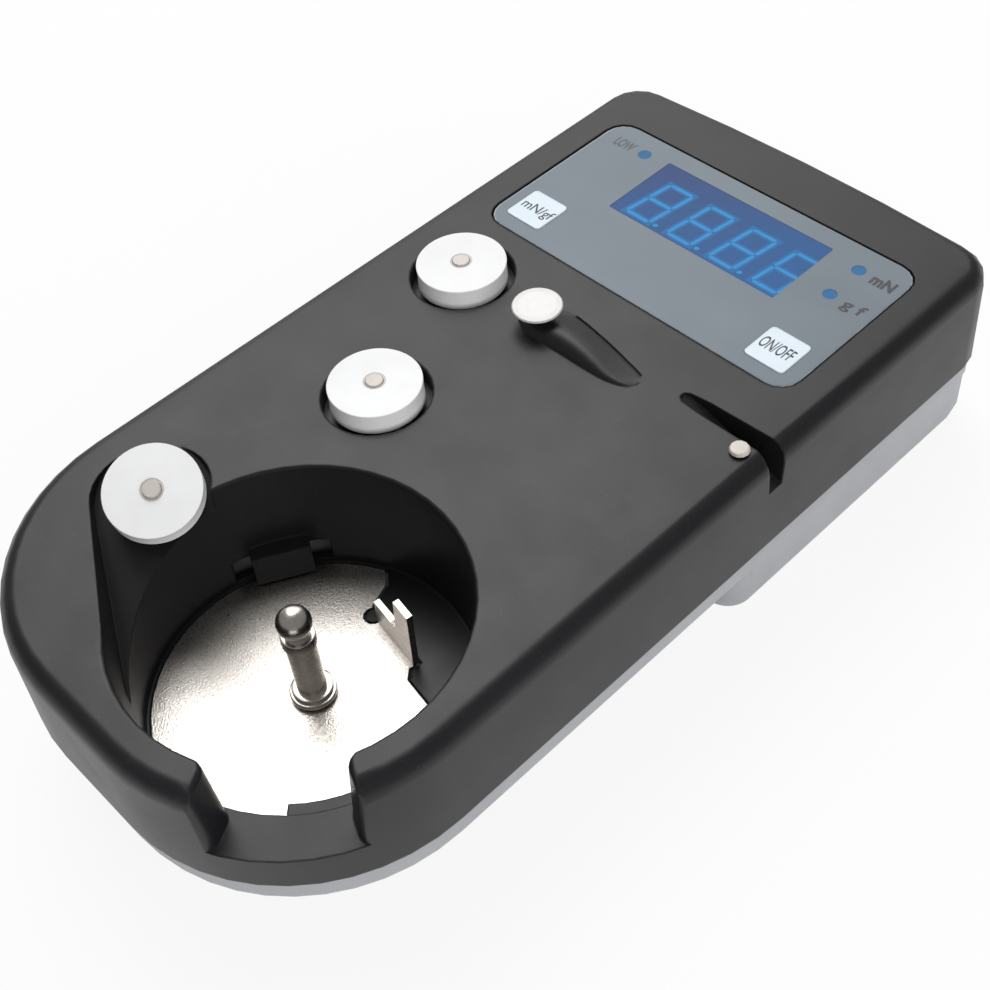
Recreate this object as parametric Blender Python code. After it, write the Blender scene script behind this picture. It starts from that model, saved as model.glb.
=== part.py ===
"""Thread tension meter: a digital gauge for the thread tension of a bobbin case.

Lengths are in metres. X runs across the case, Y from its front (the bobbin well) to its back (the
display), and Z up from the face that it rests on. The origin is in the middle of that face's plan.
"""

import math

import bmesh
import bpy
from mathutils import Matrix, Vector

# Clearances, and how far a cutter runs past what it cuts
GAP = 0.0003
OVERRUN = 0.0010

# Case outline and heights
CASE_WIDTH = 0.0650
CASE_LENGTH = 0.1260
CASE_HEIGHT = 0.0264
PARTING_HEIGHT = 0.0115
RIM_UNDERSIDE = 0.0070
FRONT_CORNER_RADIUS = 0.0260
BACK_CORNER_RADIUS = 0.0063
BACK_BOW = 0.0009
TOP_EDGE_RADIUS = 0.0024

# Top cover
COVER_DRAFT = 0.0004
COVER_WALL = 0.0017
COVER_PLATE = 0.0024

# Base shell
BASE_INSET = 0.0004
BASE_WALL = 0.0026
RIM_EDGE_RADIUS = 0.0016
RIM_FLOOR = 0.0012
BOX_FRONT_SHARE = 0.0675
BOX_INSET = 0.0006
BOX_CORNER_RADIUS = 0.0045
BOX_EDGE_RADIUS = 0.0024
BOX_FLOOR = 0.0018
LIP_THICKNESS = 0.0010
LIP_HEIGHT = 0.0012

# Bobbin well
WELL_RADIUS = 0.0206
WELL_FOOT_RADIUS = 0.0201
WELL_WALL = 0.0015
WELL_EDGE = 0.0005
SKIRT_WALL = 0.0012
PLATE_RADIUS = 0.0194
PLATE_THICKNESS = 0.0008

# Front notch: its middle direction from the well's centre, and its opening at the top and at the sill
NOTCH_DIRECTION = math.radians(-43.5)
NOTCH_HALF_ANGLE_TOP = math.radians(20.2)
NOTCH_HALF_ANGLE_SILL = math.radians(17.8)
NOTCH_CORE_HALF_ANGLE = math.radians(30)
NOTCH_LIP_RADIUS = 0.0016
NOTCH_EDGE = 0.0008
NOTCH_DEPTH = 0.0099

# Tab that is bent up from the well's plate; its fold's middle is set out from the well's centre
TAB_OFFSET_X = 0.0020
TAB_OFFSET_Y = 0.01165
TAB_DIRECTION = math.radians(-9.6)
TAB_WIDTH = 0.0080
TAB_LOW_HEIGHT = 0.0043
TAB_HIGH_HEIGHT = 0.0102
TAB_HIGH_WIDTH = 0.0030
TAB_NOTCH_WIDTH = 0.0008
TAB_LEAN = 0.0007
RELIEF_RADIUS = 0.0013
SHOULDER_DROP = 0.0021

# Catches on the well's wall; the front one is a share of the height from the plate to the sill
BACK_CATCH_DIRECTION = math.radians(151)
BACK_CATCH_WIDTH = 0.0075
BACK_CATCH_REACH = 0.0178
BACK_CATCH_HEIGHT = 0.0051
CATCH_POCKET_WIDTH = 0.0025
CATCH_POCKET_HEIGHT = 0.0039
CATCH_POCKET_REACH = 0.0212
FRONT_CATCH_DIRECTION = math.radians(-33)
FRONT_CATCH_HALF_ANGLE = math.radians(12)
FRONT_CATCH_REACH = 0.0188
FRONT_CATCH_DROP = 0.0003
FRONT_CATCH_SHARE = 0.42

# Bobbin post
POST_COLLAR_RADIUS = 0.00285
POST_COLLAR_HEIGHT = 0.0007
POST_STEP_RADIUS = 0.0025
POST_STEP_HEIGHT = 0.0006
POST_SHAFT_RADIUS = 0.0018
POST_HEAD_RADIUS = 0.00205
POST_HEAD_HEIGHT = 0.0016
POST_NECK_RADIUS = 0.0014
POST_NECK_HEIGHT = 0.0006
POST_BALL_RADIUS = 0.0021
POST_BALL_DROP = 0.0030
POST_BORE_DEPTH = 0.0050
POST_SCREW_RADIUS = 0.0008
POST_SCREW_HEAD_RADIUS = 0.0020

# Rollers, their pockets and their axles
ROLLER_RADIUS = 0.0060
ROLLER_THICKNESS = 0.00315
ROLLER_EDGE = 0.0003
ROLLER_DOME = 0.0001
GROOVE_DROP = 0.00095
GROOVE_WIDTH = 0.0004
GROOVE_DEPTH = 0.0008
AXLE_RADIUS = 0.00115
AXLE_STAND = 0.0002
AXLE_EDGE = 0.0001
AXLE_SHOULDER_RADIUS = 0.0020
AXLE_TAIL = 0.0008
POCKET_RADIUS = 0.0070
POCKET_EDGE = 0.0003
POCKET_WALL = 0.0015
POCKET_FLOOR = 0.0015
POCKET_DEPTH = 0.0025
ROLLER_TOP = 0.00215
SENSING_HOLE_RADIUS = 0.0024

# Inclined roller: how far the middle of its top face and its pocket lie from the well's centre,
# towards the left wall and the front, and the tilt of its axle
INCLINED_ROLLER_REACH = 0.0237
INCLINED_ROLLER_SHIFT = 0.0010
INCLINED_ROLLER_TOP = 0.0021
INCLINED_ROLLER_THICKNESS = 0.0022
INCLINED_TILT = math.radians(21)
INCLINED_DIRECTION = math.radians(-35)
INCLINED_AXLE_STAND = 0.00045
INCLINED_POCKET_REACH = 0.0257
INCLINED_POCKET_SHIFT = 0.0004
INCLINED_POCKET_RADIUS = 0.0073
INCLINED_POCKET_DEPTH = 0.0049
INCLINED_POCKET_SWEEP = math.radians(235)
INCLINED_POCKET_TURN = math.radians(100)

# Thread guide post and its ridge
GUIDE_TOP = 0.0028
GUIDE_FLANGE_RADIUS = 0.0033
GUIDE_FLANGE_THICKNESS = 0.0004
GUIDE_CONE_HEIGHT = 0.0007
GUIDE_NECK_RADIUS = 0.0011
GUIDE_TAIL = 0.0010
GUIDE_BOSS_WALL = 0.0012
RIDGE_HEAD = 0.0029
RIDGE_LENGTH = 0.0200
RIDGE_NEAR_REACH = 0.0027
RIDGE_FAR_REACH = 0.0039
RIDGE_HEIGHT = 0.0017
RIDGE_SINK = 0.0008
CREASE_WIDTH = 0.0003
CREASE_DEPTH = 0.00025

# Thread slot and its pin
SLOT_WIDTH = 0.0030
SLOT_DEPTH = 0.0058
SLOT_TIP_DEPTH = 0.0003
SLOT_WALL = 0.0016
PIN_INSET = 0.0042
PIN_SETBACK = 0.0015
PIN_STAND = 0.0008
PIN_HEAD_RADIUS = 0.0013
PIN_HEAD_HEIGHT = 0.0006
PIN_NECK_RADIUS = 0.0007
PIN_LENGTH = 0.0042

# Display panel, its window and its lamps, which stand clear of the display module
PANEL_CORNER_RADIUS = 0.0030
PANEL_THICKNESS = 0.0005
PANEL_SINK = 0.0001
WINDOW_WIDTH = 0.0284
WINDOW_DEPTH = 0.0126
WINDOW_OFFSET = 0.0001
WINDOW_CORNER_RADIUS = 0.0004
WINDOW_THICKNESS = 0.0012
WINDOW_LEDGE = 0.0008
MODULE_WIDTH = 0.0300
MODULE_DEPTH = 0.0140
MODULE_CHAMFER = 0.0005
LAMP_RADIUS = 0.0010
LAMP_FLANGE_RADIUS = 0.0016
LAMP_FLANGE_HEIGHT = 0.0010
LAMP_LEFT_CLEARANCE = 0.0032
LAMP_RIGHT_CLEARANCE = 0.0043

# Buttons and their switches
BUTTON_SIDE = 0.0061
BUTTON_CORNER_RADIUS = 0.0006
BUTTON_STAND = 0.0002
BUTTON_TRAVEL = 0.0004
BUTTON_FLANGE = 0.0010
BUTTON_FLANGE_HEIGHT = 0.0008
SWITCH_SIDE = 0.0062
SWITCH_HEIGHT_SHARE = 0.66
SWITCH_PLUNGER_RADIUS = 0.0017

# Circuit board and what it carries
BOARD_SIDE_MARGIN = 0.0045
BOARD_LEAD = 0.0042
BOARD_THICKNESS = 0.0016
BOARD_HEADROOM = 0.0014
BOARD_CORNER_RADIUS = 0.0010
PROCESSOR_SIDE = 0.0070
PROCESSOR_HEIGHT = 0.0012
AMPLIFIER_WIDTH = 0.0100
AMPLIFIER_DEPTH = 0.0040
AMPLIFIER_HEIGHT = 0.0015
CHIP_SETBACK = 0.0075
CHIP_X = 0.0070
BOARD_SCREW_INSET = 0.0025
BOARD_SCREW_SETBACK = 0.0030
BOARD_SCREW_RADIUS = 0.0009
BOARD_SCREW_HEAD_RADIUS = 0.0018
BOARD_SCREW_HEAD_HEIGHT = 0.0011
BOARD_SCREW_LENGTH = 0.0055
BOARD_COLUMN_RADIUS = 0.0020

# Load cell
CELL_LENGTH = 0.0445
CELL_WIDTH = 0.0086
CELL_THICKNESS = 0.0060
CELL_CLEARANCE = 0.0019
CELL_HEADROOM = 0.0019
CELL_TIP = 0.0045
CELL_HOLE_RADIUS = 0.0021
CELL_HOLE_SPACING = 0.0080
CELL_SCREW_RADIUS = 0.0013
CELL_SCREW_HEAD_RADIUS = 0.0024
CELL_SCREW_HEAD_HEIGHT = 0.0016
CELL_SCREW_GRIP_SHARE = 0.65
CELL_SCREW_SPACING = 0.0060
CELL_END_MARGIN = 0.0033
CELL_SEAT_LENGTH = 0.0120
SENSING_AXLE_FOOT = 0.0045
RIBBON_WIDTH = 0.0040
RIBBON_THICKNESS = 0.0005
RIBBON_X = 0.0100
RIBBON_OVERLAP = 0.0025

# Batteries, their contacts and their door
BATTERY_RADIUS = 0.00525
BATTERY_LENGTH = 0.0438
BATTERY_NUB_RADIUS = 0.0019
BATTERY_NUB_HEIGHT = 0.0008
BATTERY_EDGE = 0.0005
BATTERY_PITCH = 0.0115
CONTACT_THICKNESS = 0.0004
CONTACT_BUMP_RADIUS = 0.0025
CONTACT_BUMP_HEIGHT = 0.0014
CONTACT_HEIGHT = 0.0085
BAY_RIB = 0.0012
BAY_RIB_HEIGHT = 0.0105
DOOR_SIDE_MARGIN = 0.0011
DOOR_BACK_MARGIN = 0.0025
DOOR_THICKNESS = 0.0016
DOOR_SINK = 0.0002
DOOR_LUG_REACH = 0.0014
DOOR_LUG_LENGTH = 0.0040
DOOR_LUG_THICKNESS = 0.0010
DOOR_LUG_SPACING = 0.0160
DOOR_TRAVEL = 0.0060
DOOR_GRIP_WIDTH = 0.0140
DOOR_GRIP_GROOVE = 0.0008
DOOR_GRIP_DEPTH = 0.0005
DOOR_GRIP_PITCH = 0.0018
DOOR_GRIP_COUNT = 4

# Case screws, set in from the walls and corners and clear of the load cell
SCREW_RADIUS = 0.0010
SCREW_LENGTH = 0.0100
SCREW_HEAD_RADIUS = 0.0020
SCREW_HEAD_HEIGHT = 0.0014
SCREW_SEAT = 0.0090
SCREW_DRIVE_RADIUS = 0.0009
SCREW_DRIVE_DEPTH = 0.0007
COLUMN_RADIUS = 0.0032
FRONT_SCREW_OFFSET_X = 0.0125
FRONT_SCREW_OFFSET_Y = 0.0130
LEFT_SCREW_INSET = 0.0065
LEFT_SCREW_OFFSET_Y = 0.0190
RIGHT_SCREW_INSET = 0.0067
RIGHT_SCREW_CLEARANCE = 0.0022
BACK_SCREW_INSET = 0.0075

# How finely round forms are divided, and how smooth they are shaded
SMOOTH_ANGLE = math.radians(30)
FRONT_CORNER_STEPS = 12
BACK_CORNER_STEPS = 4
BOW_STEPS = 4
EDGE_STEPS = 3
FLARE_STEPS = 3
ROUND_STEPS = 28
HIDDEN_STEPS = 20
SMALL_ROUND_STEPS = 12
WELL_STEPS = 48
POST_STEPS = 20
BALL_STEPS = 7

# Places of the back half, as shares of the case's width and length
EXIT_ROLLER_SHARES = (-0.295, 0.109)
SENSING_ROLLER_SHARE = -0.169
GUIDE_SHARES = (-0.0785, 0.1095)
SLOT_SHARES = (0.265, 0.127)
PANEL_PLACE_SHARES = (0.003, 0.3024)
PANEL_SIZE_SHARES = (0.80, 0.2206)
BATTERY_FRONT_SHARE = 0.208

# Places on the panel, as shares of its width and depth from its middle
BUTTON_SHARES = (0.402, -0.309)
WINDOW_SHARE = 0.1655
LAMP_UPPER_SHARE = 0.356
LAMP_LOWER_SHARE = 0.133

# The ridge beside the guide post: stations along it, with its near foot, crest, far foot and height
RIDGE_STATION_SHARES = (0.0, 0.02, 0.06, 0.12, 0.20, 0.30, 0.42, 0.52, 0.62, 0.72, 0.82, 0.91, 0.97, 1.0)
RIDGE_NEAR_SHARES = (0.19, 0.41, 0.67, 0.91, 1.0, 1.0, 0.98, 0.96, 0.96, 0.94, 0.89, 0.72, 0.52, 0.19)
RIDGE_CREST_SHARES = (0.0, 0.0, 0.0, 0.04, 0.07, 0.11, 0.13, 0.19, 0.26, 0.37, 0.52, 0.48, 0.30, 0.0)
RIDGE_FAR_SHARES = (0.15, 0.38, 0.69, 0.92, 1.0, 0.97, 0.90, 0.82, 0.73, 0.63, 0.51, 0.41, 0.32, 0.13)
RIDGE_HEIGHT_SHARES = (0.21, 0.44, 0.66, 0.76, 0.80, 0.94, 1.0, 0.94, 0.79, 0.59, 0.35, 0.19, 0.09, 0.03)
RIDGE_SECTION_SHARES = ((-1.0, 0.0), (-0.90, 0.36), (-0.65, 0.72), (-0.33, 0.94), (0.0, 1.0),
                        (0.22, 0.88), (1.0, 0.0))
CREASE_START_SHARE = 0.30
CREASE_END_SHARE = 0.97

# The thread slot from its tip to the side wall: stations, and its near and far edges in slot widths
SLOT_STATION_SHARES = (0.0, 0.04, 0.22, 0.83, 0.94, 1.0)
SLOT_NEAR_SHARES = (0.13, 0.30, 0.367, 0.367, 0.50, 0.50)
SLOT_FAR_SHARES = (0.13, 0.28, 0.40, 0.52, 0.53, 0.54)
SLOT_EDGE_SHARE = 0.367
SLOT_DRAFT_SHARE = 0.12

# The cut-out of the well's plate beyond the tab's fold, along and across the fold, in tab widths
CUTOUT_LEFT_SHARES = ((-0.84, 0.04), (-1.05, 0.42), (-1.40, 0.62), (-2.10, 1.30))

# Heights that follow from the sizes above
RIM_FLOOR_TOP = RIM_UNDERSIDE + RIM_FLOOR
PLATE_UNDERSIDE = RIM_FLOOR_TOP + GAP
PLATE_TOP = PLATE_UNDERSIDE + PLATE_THICKNESS
LIP_TOP = PARTING_HEIGHT + LIP_HEIGHT
SILL_HEIGHT = CASE_HEIGHT - NOTCH_DEPTH
COVER_CEILING = CASE_HEIGHT - COVER_PLATE
CELL_TOP = CASE_HEIGHT - POCKET_DEPTH - POCKET_FLOOR - CELL_HEADROOM
CELL_SEAT_TOP = CELL_TOP - CELL_THICKNESS - GAP
POST_BALL_CENTRE = CASE_HEIGHT - POST_BALL_DROP
PANEL_TOP = CASE_HEIGHT - PANEL_SINK
PANEL_FLOOR = PANEL_TOP - PANEL_THICKNESS - GAP
MODULE_TOP = COVER_CEILING - GAP
BATTERY_HEIGHT = DOOR_SINK + DOOR_THICKNESS + DOOR_LUG_THICKNESS + GAP + BATTERY_RADIUS
BOARD_UNDERSIDE = BATTERY_HEIGHT + BATTERY_RADIUS + BOARD_HEADROOM
BOARD_TOP = BOARD_UNDERSIDE + BOARD_THICKNESS

# Places and sizes in plan that follow from the sizes and shares above
WELL_X = CASE_WIDTH / 2 - FRONT_CORNER_RADIUS
WELL_Y = FRONT_CORNER_RADIUS - CASE_LENGTH / 2
TAB_X = WELL_X + TAB_OFFSET_X
TAB_Y = WELL_Y + TAB_OFFSET_Y
EXIT_ROLLER_X = CASE_WIDTH * EXIT_ROLLER_SHARES[0]
EXIT_ROLLER_Y = CASE_LENGTH * EXIT_ROLLER_SHARES[1]
SENSING_ROLLER_X = CASE_WIDTH * SENSING_ROLLER_SHARE
SENSING_ROLLER_Y = WELL_Y + WELL_RADIUS + WELL_WALL + CELL_CLEARANCE + CELL_WIDTH / 2
CELL_START_X = SENSING_ROLLER_X - CELL_TIP
INCLINED_ROLLER_X = WELL_X - INCLINED_ROLLER_REACH
INCLINED_ROLLER_Y = WELL_Y - INCLINED_ROLLER_SHIFT
INCLINED_POCKET_X = WELL_X - INCLINED_POCKET_REACH
INCLINED_POCKET_Y = WELL_Y - INCLINED_POCKET_SHIFT
GUIDE_X = CASE_WIDTH * GUIDE_SHARES[0]
GUIDE_Y = CASE_LENGTH * GUIDE_SHARES[1]
SLOT_START_X = CASE_WIDTH * SLOT_SHARES[0]
SLOT_Y = CASE_LENGTH * SLOT_SHARES[1]
PIN_X = CASE_WIDTH / 2 - PIN_INSET
PIN_Y = SLOT_Y - SLOT_WIDTH * SLOT_EDGE_SHARE - PIN_SETBACK
PANEL_X = CASE_WIDTH * PANEL_PLACE_SHARES[0]
PANEL_Y = CASE_LENGTH * PANEL_PLACE_SHARES[1]
PANEL_WIDTH = CASE_WIDTH * PANEL_SIZE_SHARES[0]
PANEL_DEPTH = CASE_LENGTH * PANEL_SIZE_SHARES[1]
WINDOW_X = PANEL_X - WINDOW_OFFSET
WINDOW_Y = PANEL_Y + PANEL_DEPTH * WINDOW_SHARE
LAMP_LEFT_X = WINDOW_X - MODULE_WIDTH / 2 - LAMP_LEFT_CLEARANCE
LAMP_RIGHT_X = WINDOW_X + MODULE_WIDTH / 2 + LAMP_RIGHT_CLEARANCE
LAMP_UPPER_Y = PANEL_Y + PANEL_DEPTH * LAMP_UPPER_SHARE
LAMP_LOWER_Y = PANEL_Y + PANEL_DEPTH * LAMP_LOWER_SHARE
BUTTON_X = PANEL_WIDTH * BUTTON_SHARES[0]
BUTTON_Y = PANEL_Y + PANEL_DEPTH * BUTTON_SHARES[1]
BOARD_WIDTH = CASE_WIDTH - 2 * BOARD_SIDE_MARGIN
BOARD_FRONT_Y = PANEL_Y - PANEL_DEPTH / 2 - BOARD_LEAD
BOARD_BACK_Y = CASE_LENGTH / 2 - BACK_SCREW_INSET - COLUMN_RADIUS - GAP
CHIP_Y = BOARD_FRONT_Y + CHIP_SETBACK
BOARD_SCREW_X = BOARD_WIDTH / 2 - BOARD_SCREW_INSET
BOARD_SCREW_FRONT_Y = BOARD_FRONT_Y + BOARD_SCREW_SETBACK
BOARD_SCREW_BACK_Y = (BUTTON_Y + BUTTON_SIDE / 2 + BUTTON_FLANGE + LAMP_LOWER_Y - LAMP_FLANGE_RADIUS) / 2
BOX_FRONT_Y = CASE_LENGTH * BOX_FRONT_SHARE
BATTERY_FRONT_Y = CASE_LENGTH * BATTERY_FRONT_SHARE
DOOR_WIDTH = BATTERY_LENGTH + 2 * DOOR_SIDE_MARGIN
DOOR_BACK_Y = BATTERY_FRONT_Y + BATTERY_PITCH + BATTERY_RADIUS + DOOR_BACK_MARGIN
CASE_SCREW_PLACES = [
    (FRONT_CORNER_RADIUS - CASE_WIDTH / 2 - FRONT_SCREW_OFFSET_X, WELL_Y - FRONT_SCREW_OFFSET_Y),
    (LEFT_SCREW_INSET - CASE_WIDTH / 2, WELL_Y + LEFT_SCREW_OFFSET_Y),
    (CASE_WIDTH / 2 - RIGHT_SCREW_INSET,
     SENSING_ROLLER_Y + CELL_WIDTH / 2 + COLUMN_RADIUS + RIGHT_SCREW_CLEARANCE),
    (BACK_SCREW_INSET - CASE_WIDTH / 2, CASE_LENGTH / 2 - BACK_SCREW_INSET),
    (CASE_WIDTH / 2 - BACK_SCREW_INSET, CASE_LENGTH / 2 - BACK_SCREW_INSET),
]


# Materials

def finish(name, colour, metallic, roughness):
    """A named Principled material, made once."""
    material = bpy.data.materials.get(name)
    if material is None:
        material = bpy.data.materials.new(name)
        material.use_nodes = True
        shader = material.node_tree.nodes["Principled BSDF"]
        shader.inputs["Base Color"].default_value = (*colour, 1.0)
        shader.inputs["Metallic"].default_value = metallic
        shader.inputs["Roughness"].default_value = roughness
        material.diffuse_color = (*colour, 1.0)
    return material


def black_plastic():
    return finish("soft_black_plastic", (0.095, 0.095, 0.100), 0.0, 0.55)


def grey_plastic():
    return finish("grey_plastic", (0.33, 0.34, 0.36), 0.0, 0.50)


def white_plastic():
    return finish("white_plastic", (0.86, 0.86, 0.86), 0.0, 0.35)


def nickel():
    return finish("nickel_plate", (0.66, 0.62, 0.57), 1.0, 0.35)


def steel():
    return finish("bright_steel", (0.70, 0.69, 0.67), 1.0, 0.18)


# Outlines and meshes

def arc(centre, radius, start, end, steps):
    """Points of an arc in the plane, both ends included; angles in radians."""
    points = []
    for step in range(steps + 1):
        angle = start + (end - start) * step / steps
        points.append((centre[0] + radius * math.cos(angle), centre[1] + radius * math.sin(angle)))
    return points


def circle(centre, radius, steps):
    return arc(centre, radius, 0, 2 * math.pi, steps)[:-1]


def rounded_rectangle(width, depth, radius, centre=(0, 0), steps=BACK_CORNER_STEPS):
    """Corner points, counter-clockwise, of a rectangle with round corners."""
    points = []
    for side_x, side_y, start in ((1, -1, -0.5), (1, 1, 0), (-1, 1, 0.5), (-1, -1, 1)):
        corner_x = centre[0] + side_x * (width / 2 - radius)
        corner_y = centre[1] + side_y * (depth / 2 - radius)
        points += arc((corner_x, corner_y), radius, start * math.pi, (start + 0.5) * math.pi, steps)
    return points


def case_outline(inset, front_y=-CASE_LENGTH / 2, front_radius=FRONT_CORNER_RADIUS):
    """Plan of the case, moved in by inset: a short flat front, big front corners and a bowed back."""
    half = CASE_WIDTH / 2
    span = half - BACK_CORNER_RADIUS
    back = CASE_LENGTH / 2 - BACK_BOW
    front_centre = (half - front_radius, front_y + front_radius)
    back_centre = (span, back - BACK_CORNER_RADIUS)
    quarter = math.pi / 2
    right = arc(front_centre, front_radius - inset, -quarter, 0, FRONT_CORNER_STEPS)
    right += arc(back_centre, BACK_CORNER_RADIUS - inset, 0, quarter, BACK_CORNER_STEPS)
    bow = []
    for step in range(1, BOW_STEPS):
        across = 1 - 2 * step / BOW_STEPS
        bow.append((span * across, back - inset + BACK_BOW * (1 - across ** 2)))
    left = [(-x, y) for x, y in reversed(right)]
    return right + bow + left


def box_outline(inset):
    """Plan of the deep box under the display."""
    return case_outline(inset, BOX_FRONT_Y, BOX_CORNER_RADIUS)


def rounded_levels(low, high, radius, draft=0, from_top=True):
    """Heights with their insets, for walls that end in a round edge at the top or at the bottom."""
    levels = []
    for step in range(EDGE_STEPS + 1):
        angle = math.pi / 2 * step / EDGE_STEPS
        drop = radius * (1 - math.sin(angle))
        levels.append((drop, draft + radius * (1 - math.cos(angle))))
    if from_top:
        return [(low, 0)] + [(high - drop, inset) for drop, inset in levels]
    return [(low + drop, inset) for drop, inset in reversed(levels)] + [(high, 0)]


def mesh_of(name, build):
    """Mesh made by a function that fills a bmesh, with its faces turned outwards."""
    shape = bmesh.new()
    build(shape)
    bmesh.ops.recalc_face_normals(shape, faces=shape.faces)
    mesh = bpy.data.meshes.new(name)
    shape.to_mesh(mesh)
    shape.free()
    return mesh


def loft_mesh(name, rings, closed=False):
    """Skin over rings of equally many points. Open lofts get a cap at each end."""
    def build(shape):
        rows = [[shape.verts.new(point) for point in ring] for ring in rings]
        count = len(rows[0])
        following = rows[1:] + rows[:1] if closed else rows[1:]
        for low, high in zip(rows, following):
            for index in range(count):
                after = (index + 1) % count
                shape.faces.new((low[index], low[after], high[after], high[index]))
        if not closed:
            shape.faces.new(list(reversed(rows[0])))
            shape.faces.new(rows[-1])
    return mesh_of(name, build)


def add(name, mesh, material=None, location=(0, 0, 0), rotation=None):
    """Object in the scene, smooth where its faces meet at a small angle."""
    mesh.shade_smooth()
    mesh.set_sharp_from_angle(angle=SMOOTH_ANGLE)
    piece = bpy.data.objects.new(name, mesh)
    if material:
        mesh.materials.append(material)
    placed = Matrix.Translation(Vector(location))
    if rotation is not None:
        placed = placed @ rotation.to_4x4()
    piece.matrix_world = placed
    bpy.context.scene.collection.objects.link(piece)
    return piece


def lofted(name, outline, levels, material=None):
    """Body whose plan is outline(inset) at each height of levels."""
    rings = [[(x, y, height) for x, y in outline(inset)] for height, inset in levels]
    return add(name, loft_mesh(name, rings), material)


def prism(name, outline, low, high, material=None, location=(0, 0, 0), rotation=None):
    """Upright prism over a plan."""
    rings = [[(x, y, height) for x, y in outline] for height in (low, high)]
    return add(name, loft_mesh(name, rings), material, location, rotation)


def turned(name, profile, material=None, location=(0, 0, 0), rotation=None, steps=ROUND_STEPS,
           closed=False):
    """Body turned about its own Z axis from (radius, height) points, spun by bmesh."""
    def build(shape):
        verts = [shape.verts.new((radius, 0, height)) for radius, height in profile]
        ends = verts[1:] + verts[:1] if closed else verts[1:]
        edges = [shape.edges.new(pair) for pair in zip(verts, ends)]
        bmesh.ops.spin(shape, geom=verts + edges, cent=(0, 0, 0), axis=(0, 0, 1), dvec=(0, 0, 0),
                       angle=2 * math.pi, steps=steps, use_merge=True)
        if not closed:
            bmesh.ops.holes_fill(shape, edges=[edge for edge in shape.edges if edge.is_boundary], sides=0)
    return add(name, mesh_of(name, build), material, location, rotation)


def cylinder(name, radius, low, high, place=(0, 0), steps=ROUND_STEPS, material=None):
    return prism(name, circle(place, radius, steps), low, high, material)


def change(piece, tool, operation):
    """Boolean of piece with a tool object, which is kept out of the model."""
    modifier = piece.modifiers.new(tool.name, "BOOLEAN")
    modifier.operation = operation
    modifier.solver = "EXACT"
    modifier.object = tool
    tool.hide_render = True
    tool.display_type = "WIRE"


def cut(piece, tool):
    change(piece, tool, "DIFFERENCE")


def join(piece, tool):
    change(piece, tool, "UNION")


def polar(radius, angle, centre=(WELL_X, WELL_Y)):
    """Point at a distance and direction from the well's centre, or from another one."""
    return (centre[0] + radius * math.cos(angle), centre[1] + radius * math.sin(angle))


def flared_levels(low, edge):
    """Heights with outward growth, for a cutter that leaves a round edge at the cover's top face."""
    levels = [(low, 0)]
    for step in range(FLARE_STEPS + 1):
        angle = math.pi / 2 * step / FLARE_STEPS
        levels.append((CASE_HEIGHT - edge * (1 - math.sin(angle)), edge * (1 - math.cos(angle))))
    levels.append((CASE_HEIGHT + OVERRUN, edge))
    return levels


# Well, notch and pockets: the places where the cover is solid or open

def inclined_axis():
    """Unit vector along the inclined roller's axle, pointing up."""
    return Vector((math.sin(INCLINED_TILT) * math.cos(INCLINED_DIRECTION),
                   math.sin(INCLINED_TILT) * math.sin(INCLINED_DIRECTION),
                   math.cos(INCLINED_TILT)))


def inclined_rotation():
    """Rotation that turns Z onto the inclined roller's axle."""
    return Vector((0, 0, 1)).rotation_difference(inclined_axis()).to_matrix()


def inclined_roller_place():
    return Vector((INCLINED_ROLLER_X, INCLINED_ROLLER_Y, CASE_HEIGHT + INCLINED_ROLLER_TOP))


def inclined_floor_height(x, y, below):
    """Height of the plane square to the axle, that far below the inclined roller's top face."""
    axis = inclined_axis()
    start = inclined_roller_place() - axis * below
    return start.z - (axis.x * (x - start.x) + axis.y * (y - start.y)) / axis.z


def inclined_pocket_outline(margin):
    """Plan of the inclined pocket: round at the back, then the common tangent of it and the well."""
    radius = INCLINED_POCKET_RADIUS + margin
    well_radius = WELL_RADIUS + margin
    reach_x = WELL_X - INCLINED_POCKET_X
    reach_y = WELL_Y - INCLINED_POCKET_Y
    between = math.hypot(reach_x, reach_y)
    tangent = math.atan2(reach_y, reach_x) - math.asin((well_radius - radius) / between)
    foot = tangent - math.pi / 2
    centre = (INCLINED_POCKET_X, INCLINED_POCKET_Y)
    points = arc(centre, radius, foot, foot - INCLINED_POCKET_SWEEP, HIDDEN_STEPS)
    points.append(polar(WELL_RADIUS / 2, foot - INCLINED_POCKET_TURN))
    points.append(polar(well_radius, foot))
    return list(reversed(points))


def inclined_prism(name, margin, below, top):
    """Solid over the inclined pocket's plan whose lower end is square to the axle."""
    outline = inclined_pocket_outline(margin)
    low = [(x, y, inclined_floor_height(x, y, below)) for x, y in outline]
    high = [(x, y, top) for x, y in outline]
    return add(name, loft_mesh(name, [low, high]))


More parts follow.
